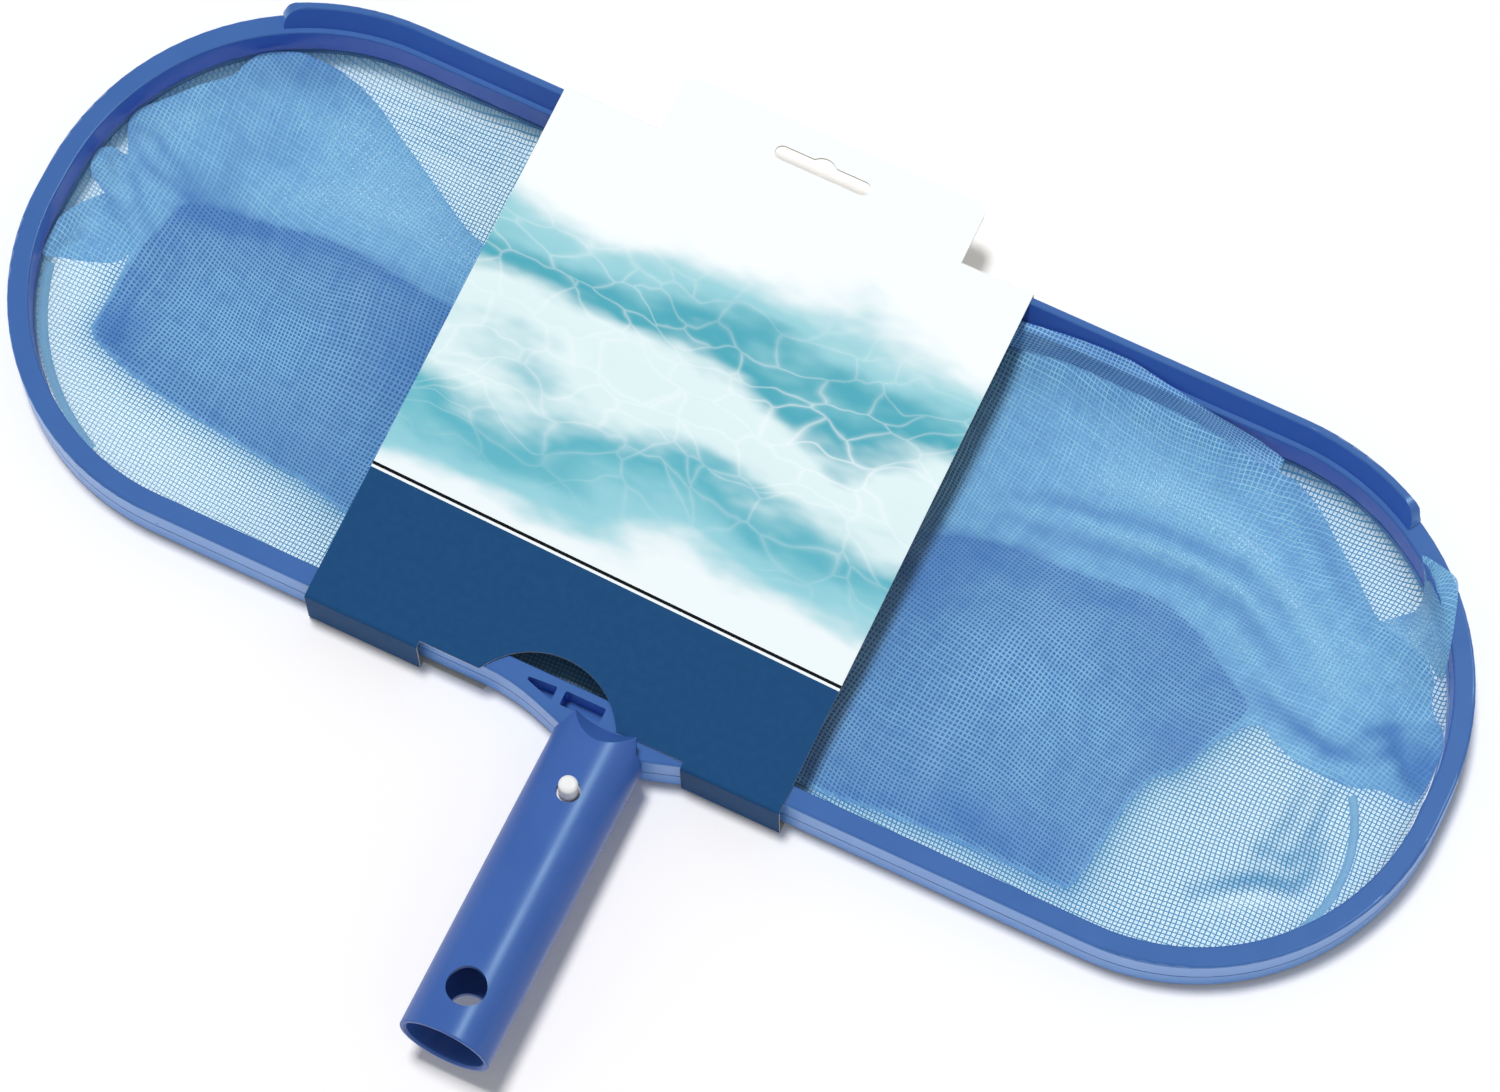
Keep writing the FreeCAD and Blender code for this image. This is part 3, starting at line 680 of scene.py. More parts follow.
def within(outline: list[Point], x: np.ndarray, y: np.ndarray) -> np.ndarray:
    """Whether places lie inside a closed outline of the plan.

    Args:
        outline: Points round it.
        x: X of the places.
        y: Y of the places.

    Returns:
        One truth value per place.
    """
    inside = np.zeros(x.shape, bool)
    for a, b in zip(outline, outline[1:] + outline[:1]):
        if a[1] != b[1]:
            crosses = (a[1] > y) != (b[1] > y)
            inside ^= crosses & (x < a[0] + (y - a[1]) / (b[1] - a[1]) * (b[0] - a[0]))
    return inside


def around(values: np.ndarray) -> list[np.ndarray]:
    """The four neighbours of each place of a grid."""
    padded = np.pad(values, 1, mode="edge")
    return [padded[:-2, 1:-1], padded[2:, 1:-1], padded[1:-1, :-2], padded[1:-1, 2:]]


def plan_grid(low: Point, step: float, size: Point) -> tuple[np.ndarray, np.ndarray]:
    """X and Y of an even grid of the plan, from its low corner, with so many places along each."""
    return np.meshgrid(*(low[k] + step * np.arange(size[k]) for k in (0, 1)), indexing="ij")


def grid_faces(rows: int, columns: int, first: int = 0, closed: bool = False) -> list[tuple[int, ...]]:
    """Four-sided faces between rows of points.

    Args:
        rows: How many rows there are.
        columns: Points in each row.
        first: Number of the first point.
        closed: Whether each row returns to its start.

    Returns:
        The faces.
    """
    faces = []
    for start in range(first, first + (rows - 1) * columns, columns):
        for i in range(columns if closed else columns - 1):
            after = (i + 1) % columns
            faces.append((start + i, start + after, start + columns + after, start + columns + i))
    return faces


def waves(x: np.ndarray, y: np.ndarray, length: float, seed: int, count: int = 9) -> np.ndarray:
    """Gentle random undulation of about unit height.

    Args:
        x: X of the places.
        y: Y of the places.
        length: Rough wave length, in millimetres.
        seed: Seed of the directions and phases.
        count: How many waves are added.

    Returns:
        Heights between about -1 and 1.
    """
    draw = np.random.default_rng(seed)
    total = np.zeros(x.shape)
    for _ in range(count):
        turn, phase = draw.uniform(0, math.pi), draw.uniform(0, 2 * math.pi)
        pace = 2 * math.pi / (length * draw.uniform(0.6, 1.6))
        bend = 0.6 * np.sin((x * math.sin(turn) - y * math.cos(turn)) * pace * 0.4 + phase)
        total += np.sin((x * math.cos(turn) + y * math.sin(turn)) * pace + phase + bend)
    return total / math.sqrt(count)


@dataclass(frozen=True)
class Crease:
    """A soft fold along a line of the plan, with its tone painted along it: painted shade where the tone is above
    zero, painted highlight where it is below.
    """

    line: tuple[Point, ...]
    tone: float
    width: float
    height: float = 0.0
    spacing: float = 1.5
    end_reach: float = 12.0
    end_loss: float = 0.6

    def shape(self, x: np.ndarray, y: np.ndarray) -> np.ndarray:
        """How near places are to the fold, which fades towards both of its ends.

        Args:
            x: X of the places.
            y: Y of the places.

        Returns:
            Shares from 0 to 1.
        """
        points = even_points(list(self.line), self.spacing, closed=False)
        distance, _ = edge_distance(points, x, y)
        ends, _ = edge_distance([points[0], points[-1]], x, y)
        kept = 1 - self.end_loss * np.exp(-(ends / self.end_reach) ** 2)
        return np.exp(-(distance / self.width) ** 2) * kept


@dataclass(frozen=True)
class Blot:
    """A soft round patch that looks deeper or, below zero, paler."""

    centre: Point
    reach: Point
    tone: float

    def shape(self, x: np.ndarray, y: np.ndarray) -> np.ndarray:
        """How near places are to the middle, from 0 to 1."""
        return np.exp(-((x - self.centre[0]) / self.reach[0]) ** 2 - ((y - self.centre[1]) / self.reach[1]) ** 2)


@dataclass
class Relief:
    """Heights and tones of one cloth layer over a grid, in millimetres, with the cloth's own lengths."""

    low: Point
    step: float
    heights: np.ndarray
    tones: np.ndarray
    lengths: tuple[np.ndarray, np.ndarray] = field(init=False)

    def __post_init__(self) -> None:
        """Works out the cloth's own lengths along X and Y."""
        rise_x = np.diff(self.heights, axis=0, prepend=self.heights[:1])
        rise_y = np.diff(self.heights, axis=1, prepend=self.heights[:, :1])
        along_x = np.cumsum(np.hypot(rise_x, self.step), axis=0)
        along_y = np.cumsum(np.hypot(rise_y, self.step), axis=1)
        self.lengths = (along_x - along_x[along_x.shape[0] // 2], along_y - along_y[:, [along_y.shape[1] // 2]])

    def sample(self, values: np.ndarray, points: np.ndarray) -> np.ndarray:
        """Values of a grid at places of the plan.

        Args:
            values: Grid of values.
            points: Places, in millimetres.

        Returns:
            One value per place.
        """
        at = np.clip((points[:, :2] - np.array(self.low)) / self.step, 0, np.array(values.shape) - 1.001)
        (i, j), (u, v) = at.astype(int).T, (at - at.astype(int)).T
        return ((1 - u) * (1 - v) * values[i, j] + u * (1 - v) * values[i + 1, j]
                + (1 - u) * v * values[i, j + 1] + u * v * values[i + 1, j + 1])

    def weave(self, points: np.ndarray) -> np.ndarray:
        """Places on the flat cloth of places of the plan."""
        return np.stack([self.sample(lengths, points) for lengths in self.lengths], axis=1)


@dataclass
class Heap:
    """Layers of cloth laid on each other over one grid of the plan, in millimetres."""

    step: float = 1.2
    low: Point = (-231.0, -84.0)
    size: tuple[int, int] = (387, 156)
    rim_ease: float = 5.0
    bed_rounds: int = 3
    least_gap: float = 0.8 * LAYER_GAP
    x: np.ndarray = field(init=False)
    y: np.ndarray = field(init=False)
    top: np.ndarray = field(init=False)

    def __post_init__(self) -> None:
        """Starts with nothing laid down."""
        self.x, self.y = plan_grid(self.low, self.step, self.size)
        self.top = np.full(self.x.shape, BED_LEVEL)

    def bed(self) -> np.ndarray:
        """Smooth surface a little over what lies there so far.

        Returns:
            Heights over the grid.
        """
        spread = np.maximum.reduce([self.top, *around(self.top)])
        for _ in range(self.bed_rounds):
            spread = (2 * spread + sum(around(spread))) / 6
        return np.maximum(spread + LAYER_GAP, self.top + self.least_gap)

    def lay(self, outline: list[Point], wrinkles: np.ndarray, tones: np.ndarray, loft: float = 0.0,
            reach: float = 7.0) -> Relief:
        """Lays one layer inside an outline.

        Args:
            outline: Even points with X, Y and height, towards which the layer rises.
            wrinkles: Heights of the folds, which fade at the outline.
            tones: How much deeper the mesh looks.
            loft: How far the middle stands off.
            reach: How far in the outline's height is felt.

        Returns:
            The relief.
        """
        distance, edge_height = edge_distance(outline, self.x, self.y)
        ease = 1 - np.exp(-(distance / self.rim_ease) ** 2)
        level = np.maximum(self.bed() + ease * (loft + wrinkles), self.top + LAYER_GAP)
        level = level + np.clip(edge_height - level, 0, None) * np.exp(-distance / reach)
        self.top = np.where(within(outline, self.x, self.y), level, self.top)
        return Relief(self.low, self.step, level, tones)


def fill_outline(outline: list[Point], step: float) -> tuple[np.ndarray, list[tuple[int, ...]], int]:
    """Triangles that fill an outline with evenly spread points.

    Args:
        outline: Even points round the edge, in millimetres.
        step: Distance between the points inside.

    Returns:
        The points' X and Y, the triangles and how many of the points are on the edge.
    """
    row_height, clearance = 0.866 * step, 0.6 * step
    edge = [p[:2] for p in outline]
    (left, right), (near, far) = ((min(values), max(values)) for values in zip(*edge))
    rows = []
    y, row = near + step, 0
    while y < far:
        x = left + step * (0.5 if row % 2 else 1.0)
        while x < right:
            rows.append((x, y))
            x += step
        y += row_height
        row += 1
    places = np.array(rows, float)
    clear, _ = edge_distance(edge, places[:, 0], places[:, 1])
    points = [Vector(p) for p in edge] + [Vector(p) for p in places[clear > clearance]]
    ring = [(i, (i + 1) % len(edge)) for i in range(len(edge))]
    made = delaunay_2d_cdt(points, ring, [], 1, 1e-6)
    return np.array([tuple(v) for v in made[0]], float), [tuple(f) for f in made[2]], len(edge)


def add_object(data: bpy.types.ID) -> Piece:
    """Adds an object that holds some data to the scene.

    Args:
        data: Mesh, lamp or camera.

    Returns:
        The object, named as its data is.
    """
    made = bpy.data.objects.new(data.name, data)
    bpy.context.scene.collection.objects.link(made)
    return made


def stand(data: bpy.types.ID, place: Point, axes: tuple[Vector, Vector, Vector]) -> Piece:
    """Adds a lamp or the camera at a place.

    Args:
        data: The lamp or the camera.
        place: Its place, in metres.
        axes: Its own right, top and back.

    Returns:
        The object.
    """
    made = add_object(data)
    made.matrix_world = Matrix.Translation(place) @ Matrix(axes).transposed().to_4x4()
    return made


@dataclass
class Sheet:
    """Points, faces and places on the flat cloth of one piece before it is made, in millimetres.

    The weave has one place for each point, or for each corner of the faces. Numbers say
    which finish each face wears. A rim of so many points, at the start of both halves of
    the points, gets a sharp edge.
    """

    name: str
    points: np.ndarray
    faces: list[tuple[int, ...]]
    weave: np.ndarray
    tones: np.ndarray | float = 0.0
    numbers: tuple[int, ...] = ()
    rim: int = 0

    def make(self, *finishes: Material, slot: Slot = Slot.NET, node: str = "net_bag") -> Piece:
        """Makes the piece, riding on the frame.

        Args:
            *finishes: Finishes of the piece.
            slot: Slot of the record, not used.
            node: CAD node that the piece stands for.

        Returns:
            The piece.
        """
        mesh = bpy.data.meshes.new(self.name)
        places = self.points * MM + np.array((0.0, RING_Y, 0.0))
        mesh.from_pydata([tuple(p) for p in places], [], [tuple(int(v) for v in f) for f in self.faces])
        corners = np.zeros(len(mesh.loops), int)
        mesh.loops.foreach_get("vertex_index", corners)
        flat = self.weave if len(self.weave) == len(corners) else self.weave[corners]
        mesh.uv_layers.new(name="weave").data.foreach_set("uv", (flat * MM).astype(np.float32).ravel())
        tones = np.zeros(len(self.points)) + self.tones
        mesh.attributes.new("fold", "FLOAT", "POINT").data.foreach_set("value", tones.astype(np.float32))
        mesh.polygons.foreach_set("use_smooth", [True] * len(mesh.polygons))
        if self.numbers:
            mesh.polygons.foreach_set("material_index", self.numbers)
        if self.rim:
            self.sharpen(mesh)
        mesh.update()
        for finish in finishes:
            mesh.materials.append(finish)
        piece = add_object(mesh)
        piece.visible_shadow = False
        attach(piece, "frame")
        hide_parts(node)
        LOG.info("%s: %d faces, %.5f m2", piece.name, len(mesh.polygons), sum(face.area for face in mesh.polygons))
        return piece

    def sharpen(self, mesh: bpy.types.Mesh) -> None:
        """Marks the edges of the rim sharp.

        Args:
            mesh: The piece's mesh.
        """
        ends = np.zeros(2 * len(mesh.edges), int)
        mesh.edges.foreach_get("vertices", ends)
        pairs = ends.reshape(-1, 2)
        upper = pairs % (len(self.points) // 2)
        on_rim = (pairs < self.rim).all(axis=1) | (upper < self.rim).all(axis=1)
        mesh.edges.foreach_set("use_edge_sharp", on_rim.tolist())


def drop_loose(piece: Piece) -> None:
    """Removes points that no face uses.

    Args:
        piece: The piece.
    """
    mesh = bmesh.new()
    mesh.from_mesh(piece.data)
    bmesh.ops.delete(mesh, geom=[v for v in mesh.verts if not v.link_faces], context="VERTS")
    mesh.to_mesh(piece.data)
    mesh.free()


@dataclass
class FoldedBag:
    """The mesh bag, folded flat inside the frame.

    Outlines hold X, Y and height. The pocket, inside the cover, lies flat, and both share
    their outline's near side. Gentle waves are heights, lengths and shifts of the seed. The
    floor grows paler by an amount, below an X, over a width, and its border rises by an
    amount over a width.
    """

    step: float = 1.45
    heap: Heap = field(default_factory=Heap)
    wall_fade: float = 1.7
    border_top: float = 6.6
    pocket_inset: float = 0.7
    cover_outset: float = 0.5
    fold_edge_shade: float = 0.25
    flap_tone: float = 0.15
    fold_tones: Point = (-0.75, 0.95)
    floor_tones: Point = (-0.6, 0.9)
    floor_height: float = 1.1
    floor_pale: Point = (0.35, -130.0, 14.0)
    floor_border: Point = (4.4, 1.5)
    gentle_waves: tuple[Point, ...] = ((0.55, 46.0, 0), (0.16, 15.0, 20))
    layer_apart: float = 0.2
    painted_fold_shadows: tuple[Point, ...] = ((0.65, 5.0), (0.2, 2.8))
    pocket_tone: float = 0.5
    cover_tone: float = 0.04
    sleeve_span: Point = (-92.0, 50.0)
    tuck_span: Point = (-223.0, -214.0)
    hem_profile: tuple[Point, ...] = (
        (3.4, 7.1), (5.6, 7.15), (6.5, 7.1), (6.85, 6.9), (7.05, 6.3), (7.0, 5.4), (6.95, 4.6), (6.95, 3.2),
        (7.0, 1.9))
    tape_arcs: tuple[Point, ...] = (
        (-NEAR_ARC[0], NEAR_ARC[1], 69.3, 193.0, 246.0), (165.8, -24.5, 45.0, -32.0, 34.0))
    tape_profile: tuple[Point, ...] = ((0.0, 0.0), (0.12, 0.3), (0.5, 0.42), (0.88, 0.3), (1.0, 0.0))
    tape_width: float = 2.7
    tape_level: float = 2.5
    near_left: tuple[Point, ...] = (
        (-98, -49.5), (-117, -45.0), (-137, -43.3), (-154.7, -41.2))
    near_right: tuple[Point, ...] = (
        (157.3, -4.3), (153.2, -14.7), (147, -19.0), (144, -26.8), (142.7, -33.6), (141.3, -46.6), (140, -56),
        (138.5, -61), (134.6, -61.2), (123.4, -61.7), (105.7, -61.7), (84, -62.8), (66, -65.0), (40, -66.0),
        (-30, -60.0))
    pocket: tuple[Point, ...] = (
        (-170, -39.2), (-184, -36.0), (-197.3, -31.0), (-197.0, -22), (-196.8, -13), (-196.7, -3), (-194.5, 6),
        (-191.5, 20), (-176, 22.5), (-161, 24.5), (-149, 27), (-136, 27), (-121, 25.4), (-106, 24), (-60, 22),
        (0, 17), (51.8, 18.2), (63, 23.5), (76, 26.7), (88, 27.7), (100, 28.2), (111, 29.7), (122, 31.4), (131, 30.6),
        (142, 26.5), (154, 18.6), (166, 11.5))
    cover: tuple[Point, ...] = (
        (-170, -39.0, 0), (-184, -36.0, 0), (-197.3, -31.0, 0), (-197.0, -22, 0), (-196.8, -13, 3), (-197.0, -2.1, 4),
        (-203.7, 5.0, 5.0), (-211.4, 9.5, 5.6), (-219.5, 13.5, 9.0), (-220.3, 20.4, 9.0), (-217.4, 23.3, 7.4),
        (-211.0, 22.7, 5.0), (-214.2, 28.5, 6.8), (-216.2, 33.3, 8.9), (-214.0, 38.6, 9.0), (-210.4, 42.5, 7.6),
        (-202.6, 52.4, 7.2), (-194.6, 59.1, 7.2), (-192.4, 64.1, 8.8), (-190.3, 68.6, 9.2), (-184.7, 71.9, 9.4),
        (-178.8, 74.2, 9.6), (-169.2, 74.6, 8.6), (-158.7, 72.9, 7.0), (-149.2, 69.0, 5.0), (-142.2, 64.7, 4.0),
        (-130.8, 58.4, 3.6), (-118.8, 51.3, 3.2), (-107.2, 44.8, 3.0), (-80, 40, 3.0), (-40, 52, 3.0), (10, 76, 6.0),
        (40, 79, 9), (51, 80, 9), (59.9, 81.3, 10), (73.7, 83.6, 10), (89, 83.2, 10), (105.5, 83.1, 10),
        (119.6, 81.9, 9.5), (133, 80, 9), (142, 79.6, 8), (149.4, 79.0, 7.5), (158.9, 73.8, 6), (166.2, 67.8, 5.2),
        (175, 61.2, 5), (187.1, 50.5, 5), (196, 48, 8), (204, 45, 11), (209.2, 40.4, 11), (210.8, 34.2, 8),
        (213.8, 30.2, 7), (218.2, 27.2, 9), (220.2, 20.1, 9), (220.5, 10.9, 9), (219.4, 4.1, 7), (215.7, 4.0, 6),
        (208.0, 5.0, 4.2), (201, 2.4, 3), (193.6, 2.6, 2), (184, 2.8, 0), (177.5, 4.6, 0), (167.2, 9.8, 0))
    petal: tuple[Point, ...] = (
        (-196.6, -1.8, 5.0), (-199.3, -8.2, 4.0), (-208.0, -12.0, 4.5), (-216.3, -14.8, 6.5), (-220.4, -17.6, 9.0),
        (-220.9, -8.3, 9.2), (-220.8, -3.3, 9.2), (-217.4, 4.5, 6.5), (-212.0, 10.8, 5.6), (-203.7, 6.4, 5.8))
    flap: tuple[Point, ...] = (
        (187.1, 50.5, 6), (192.2, 55.4, 4.5), (197, 60, 5), (195.5, 64.5, 13), (192.6, 68.2, 20.3),
        (190.9, 70.6, 20.9), (197.8, 69.5, 21), (204.1, 68.0, 20.9), (206.6, 61.2, 20.9), (209.4, 51.5, 20.7),
        (211.7, 41.8, 20.5), (212.7, 38.2, 14.4), (205, 44.5, 12.6), (196, 47.6, 8.6))
    far_rows: tuple[tuple[Point, ...], ...] = (
        ((50, 80.2, 9.6), (59.9, 81.5, 10.6), (73.7, 83.7, 10.6), (89, 83.4, 10.6), (105.5, 83.3, 10.6),
         (119.6, 82.1, 10), (133, 80.2, 9.6), (142, 79.8, 8.6)),
        ((50, 83.6, 19.0), (59.9, 84.3, 20.2), (73.7, 84.55, 20.4), (89, 84.55, 20.4), (103, 84.5, 20.3),
         (117, 84.1, 17.5), (131, 82.6, 13), (142.1, 81.4, 10.4)),
        ((50, 85.4, 20.4), (57.5, 86.0, 21.2), (69, 86.8, 23.2), (80, 87.3, 24.2), (90, 87.4, 24.3),
         (97.5, 86.6, 22.9), (108, 85.5, 20.9), (120, 84.3, 18.8), (133, 83.7, 16.3), (142.2, 82.9, 12)))
    fold_creases: tuple[Crease, ...] = (
        Crease(((-217.3, 36.1), (-215.1, 31.2), (-210.5, 26.6), (-205.0, 23.2), (-197.0, 22.1), (-188.6, 20.3)),
               0.7, 1.7, 1.0),
        Crease(((-214.0, 37.7), (-208.5, 35.4), (-203.0, 30.1), (-195.6, 26.7), (-186.4, 23.3)), 0.65, 1.7, 1.0),
        Crease(((-190.4, 19.9), (-182.8, 19.6), (-173.3, 19.2), (-166.1, 21.6)), 0.8, 3.2, -0.6),
        Crease(((-219.3, 20.0), (-214.7, 22.6), (-209.3, 20.4), (-205.1, 15.6), (-201.1, 10.8), (-195.2, 6.8)),
               0.65, 1.6, 1.0),
        Crease(((-216, 17), (-209, 13.4), (-202.6, 7.4)), -0.35, 2.2, 0.8),
        Crease(((-217.8, 11.4), (-212.9, 10.0), (-207.0, 5.4), (-199.3, 1.8), (-193.1, 0.4)), 0.6, 1.5, 0.8),
        Crease(((-188.6, 67.6), (-180.8, 73.0), (-170.6, 73.8), (-160, 72)), 0.4, 2.6, 0.6),
        Crease(((-187.3, 61.3), (-178.8, 68.0), (-166.8, 70.5)), 0.35, 2.4, 0.8),
        Crease(((-196, 9), (-187.6, 15), (-177.8, 17.5), (-164.1, 20.5), (-144.6, 24), (-128.2, 25.5), (-104, 24)),
               0.35, 4.5, -0.5),
        Crease(((-178, 31), (-162, 36), (-146, 40), (-128, 42), (-104, 38)), -0.3, 6.0, 1.0),
        Crease(((-188.5, -1), (-189.6, -10), (-190.5, -20), (-189, -31)), 0.45, 1.2, 0.4),
        Crease(((-185.5, -1), (-186.6, -10), (-187.5, -20), (-186, -31)), -0.25, 1.2, 0.4),
        Crease(((-215.9, 35.9), (-202.0, 47.2), (-190.7, 59.7), (-185.2, 70.4)), 0.35, 2.4, 1.2),
        Crease(((-191.2, 47.7), (-181.9, 33.7), (-173.4, 21.4)), 0.3, 4.0, 1.0),
        Crease(((56, 22), (66.8, 24.5), (76.7, 25.3), (85.6, 28.0), (100, 28.0)), 0.45, 2.0, 0.4),
        Crease(((60, 18), (80, 20), (104, 23), (124, 26), (140, 22)), 0.3, 5.0, -0.4),
        Crease(((107.6, 30.1), (122.7, 31.1), (136.0, 29.3)), -0.25, 3.0, 0.8),
        Crease(((73.4, 33.5), (108.9, 38.0), (130.8, 40.0), (147.9, 37.7), (162.2, 30.9), (173.9, 22.9)), 0.6, 2.8,
               -0.8),
        Crease(((70.4, 39.5), (83.2, 45.0), (97.7, 47.4), (112.1, 50.1), (127.4, 50.6), (143.0, 49.4), (158, 44),
                (172, 34)), 0.6, 2.2, -0.8),
        Crease(((93.4, 43.0), (106.6, 43.5), (120.9, 45.0), (133.6, 45.0), (148, 43.0), (160, 35)), -0.6, 2.2, 1.3),
        Crease(((88.3, 55.9), (115.5, 60.4), (139.6, 58.1), (157, 50), (172, 40), (184, 28)), -0.6, 4.5, 1.4),
        Crease(((100, 72), (126, 72), (144, 66), (160, 56), (176, 44), (190, 32)), 0.25, 3.0, 0.6),
        Crease(((136.0, 33.5), (149.1, 30.5), (160.0, 24.5), (171.9, 17.2)), -0.35, 2.2, 1.2),
        Crease(((148.6, 14.9), (160.1, 15.4), (168.4, 14.4), (178.5, 12.2), (188.6, 9.6), (197.8, 11.6)), 0.55, 3.6,
               -0.6),
        Crease(((154.9, 8.7), (165.5, 9.0), (175.8, 5.5), (184.4, 4.0), (193.8, 4.4), (202.2, 9.0)), -0.4, 1.8, 1.2),
        Crease(((143, 82), (151, 74.6), (162.2, 66.6), (173.2, 57.3), (183.4, 48.8)), 0.5, 2.6, 1.0),
        Crease(((152, 66), (166, 55), (180, 43), (192, 36)), -0.25, 3.0, 1.0),
        Crease(((190.8, 8.6), (198.3, 18.3), (204.6, 23.2)), 0.5, 2.2, 1.0),
        Crease(((198.5, 19.8), (203.0, 22.4), (207.0, 20.2), (208.6, 15.9), (203.5, 14.8)), 0.85, 1.9, 1.2),
        Crease(((205.4, 23.1), (213.1, 27.8), (219.0, 28.0)), 0.65, 1.5, 1.2),
        Crease(((207.7, 18.0), (213.2, 11.6), (219.0, 8.4)), 0.75, 1.6, 1.2),
        Crease(((164.4, 17.1), (176.3, 13.9), (191.4, 9.4), (203.3, 10.8), (207.7, 18.0)), 0.5, 2.2, -0.5),
        Crease(((206, 22), (199, 33), (189, 43)), 0.35, 2.4, 1.2),
        Crease(((208, 21), (212.5, 28), (212, 36)), -0.4, 2.0, 1.2))
    fold_blots: tuple[Blot, ...] = (
        Blot((-165.7, -14.3), (26, 15), -0.4), Blot((-106, 6), (18, 20), 0.35), Blot((-190, -27), (9, 7), 0.4),
        Blot((-138, 49), (22, 12), -0.4), Blot((-186, 24), (12, 9), 0.35), Blot((-172, 70), (16, 6), 0.4),
        Blot((-157, 60), (14, 8), -0.3), Blot((-175, 46), (11, 9), 0.3), Blot((217, 14), (6, 9), 0.9),
        Blot((-150, -6), (26, 12), -0.35), Blot((-186, -14), (7, 18), 0.3),
        Blot((-203, 46), (8, 12), -0.25), Blot((-126, -38), (24, 6), 0.15), Blot((206, 20), (7, 6), 0.6),
        Blot((60, 8), (16, 20), 0.45), Blot((108, -8), (32, 20), -0.35), Blot((108, -54), (34, 8), 0.35),
        Blot((150, -7), (12, 9), 0.4), Blot((118, 68), (34, 9), -0.35), Blot((184, 36), (12, 12), -0.3),
        Blot((74, 66), (14, 14), 0.12), Blot((200, 34), (8, 8), -0.25), Blot((130, 10), (16, 12), 0.2))
    floor_creases: tuple[Crease, ...] = (
        Crease(((172.3, -45.8), (180.4, -39.3), (188.3, -34.2), (197.9, -32.2), (200.4, -25.7), (199.8, -17.3)),
               0.95, 2.8, 1.6),
        Crease(((176, -49), (184, -43), (192, -38.5), (201, -36)), -0.4, 2.4, 0.4),
        Crease(((184.5, -25.7), (193.4, -25.7), (197.7, -21.0)), 0.85, 2.4, 1.4),
        Crease(((195.3, -1.1), (196.1, -11.4), (193.7, -26.0)), 0.8, 2.2, 1.2),
        Crease(((188.0, -2.6), (188.5, -14.4), (184.9, -28.2)), 0.6, 2.6, 1.2),
        Crease(((-153.2, 69.5), (-138.1, 71.7), (-112, 72.5)), 0.35, 1.5, 0.6),
        Crease(((-145.2, 65.9), (-131.7, 67.7), (-112, 68.0)), 0.35, 1.4, 0.6),
        Crease(((-161.4, 74.1), (-145.9, 75.7), (-112, 77.0)), 0.3, 1.4, 0.6))
    # One mesh in copies of different brightness: the pocket's upper layer is painted darker, partly for the layers
    # below it and partly as painted shade under the cover, and the far flap is painted lighter and bluer against the
    # shade of the raised edge
    cloths: tuple[MeshCloth, ...] = (
        MeshCloth("mesh_single", (84, 148, 186), (52, 130, 178), (188, 220, 230), 0.25, rotation=0.02, veil=0.6),
        MeshCloth("mesh_under", (114, 174, 212), (70, 126, 188), (124, 182, 214), 0.6, rotation=0.5, veil=0.7,
                  drift=0.03),
        MeshCloth("mesh_pocket", (78, 132, 192), (38, 84, 160), (58, 112, 178), 0.42, rotation=-0.5, veil=0.8,
                  drift=0.03),
        MeshCloth("mesh_cover", (144, 200, 228), (52, 106, 178), CREST_HIGHLIGHT, 0.34, rotation=0.1, drift=0.04,
                  wander=1.2 * MM),
        MeshCloth("mesh_wing", (140, 196, 226), (58, 112, 190), (106, 168, 208), 0.32, rotation=0.3, veil=0.65),
        MeshCloth("mesh_lean", (176, 226, 255), (88, 150, 232), (102, 172, 246), 0.32, rotation=0.1, veil=0.6),
        MeshCloth("mesh_hem", (100, 156, 212), (60, 108, 184), CREST_HIGHLIGHT, 0.62, drift=0.0, wander=0.0, pitch=0.8 * MM),
        MeshCloth("tape_weave", (128, 178, 210), (98, 152, 198), CREST_HIGHLIGHT, 0.8, drift=0.0, wander=0.0, pitch=0.5 * MM))
    ring: list[Point] = field(init=False)

    def __post_init__(self) -> None:
        """Works out where the frame's inner wall stands."""
        self.ring = ring_outline(HEM_INSET, self.step)

    def outlines(self, step: float) -> tuple[list[Point], list[Point]]:
        """Even points round the pocket and round the cover.

        Args:
            step: Rough distance between the points.

        Returns:
            The pocket's outline, and the cover's with its heights.
        """
        left, right = ([(*point, 0.0) for point in side] for side in (self.near_left, self.near_right))
        lines = ((*self.near_left, *self.pocket, *self.near_right), (*left, *self.cover, *right))
        pocket, cover = (even_points(smooth_line(line), step, closed=True) for line in lines)
        return pocket, cover

    def tones(self, shapes: tuple[Crease | Blot, ...]) -> np.ndarray:
        """How much deeper or paler the mesh is painted over the grid, for some folds and patches; along folds this is
        painted shade and highlight.
        """
        return sum(shape.tone * shape.shape(self.heap.x, self.heap.y) for shape in shapes)

    def rises(self, creases: tuple[Crease, ...], share: float, seed: int) -> np.ndarray:
        """Heights of some folds over the grid, with long and short gentle waves.

        Args:
            creases: The folds.
            share: Share of the heights that is kept.
            seed: Seed of the waves.

        Returns:
            Heights over the grid.
        """
        x, y = self.heap.x, self.heap.y
        total = sum(height * waves(x, y, length, seed + shift) for height, length, shift in self.gentle_waves)
        for crease in creases:
            total = total + crease.height * crease.shape(x, y)
        return share * total

    def climb(self, plan: np.ndarray) -> np.ndarray:
        """How far the mesh follows the frame's inner wall upwards at places of the plan, from 0 to 1."""
        distance, _ = edge_distance(self.ring, plan[:, 0], plan[:, 1])
        return np.exp(-distance / self.wall_fade)

    def base(self) -> Relief:
        """Lays the lowest layer, from hem to hem, with painted shadow round the folds that lie on it.

        Returns:
            The relief.
        """
        heap = self.heap
        tones = self.tones(self.floor_creases)
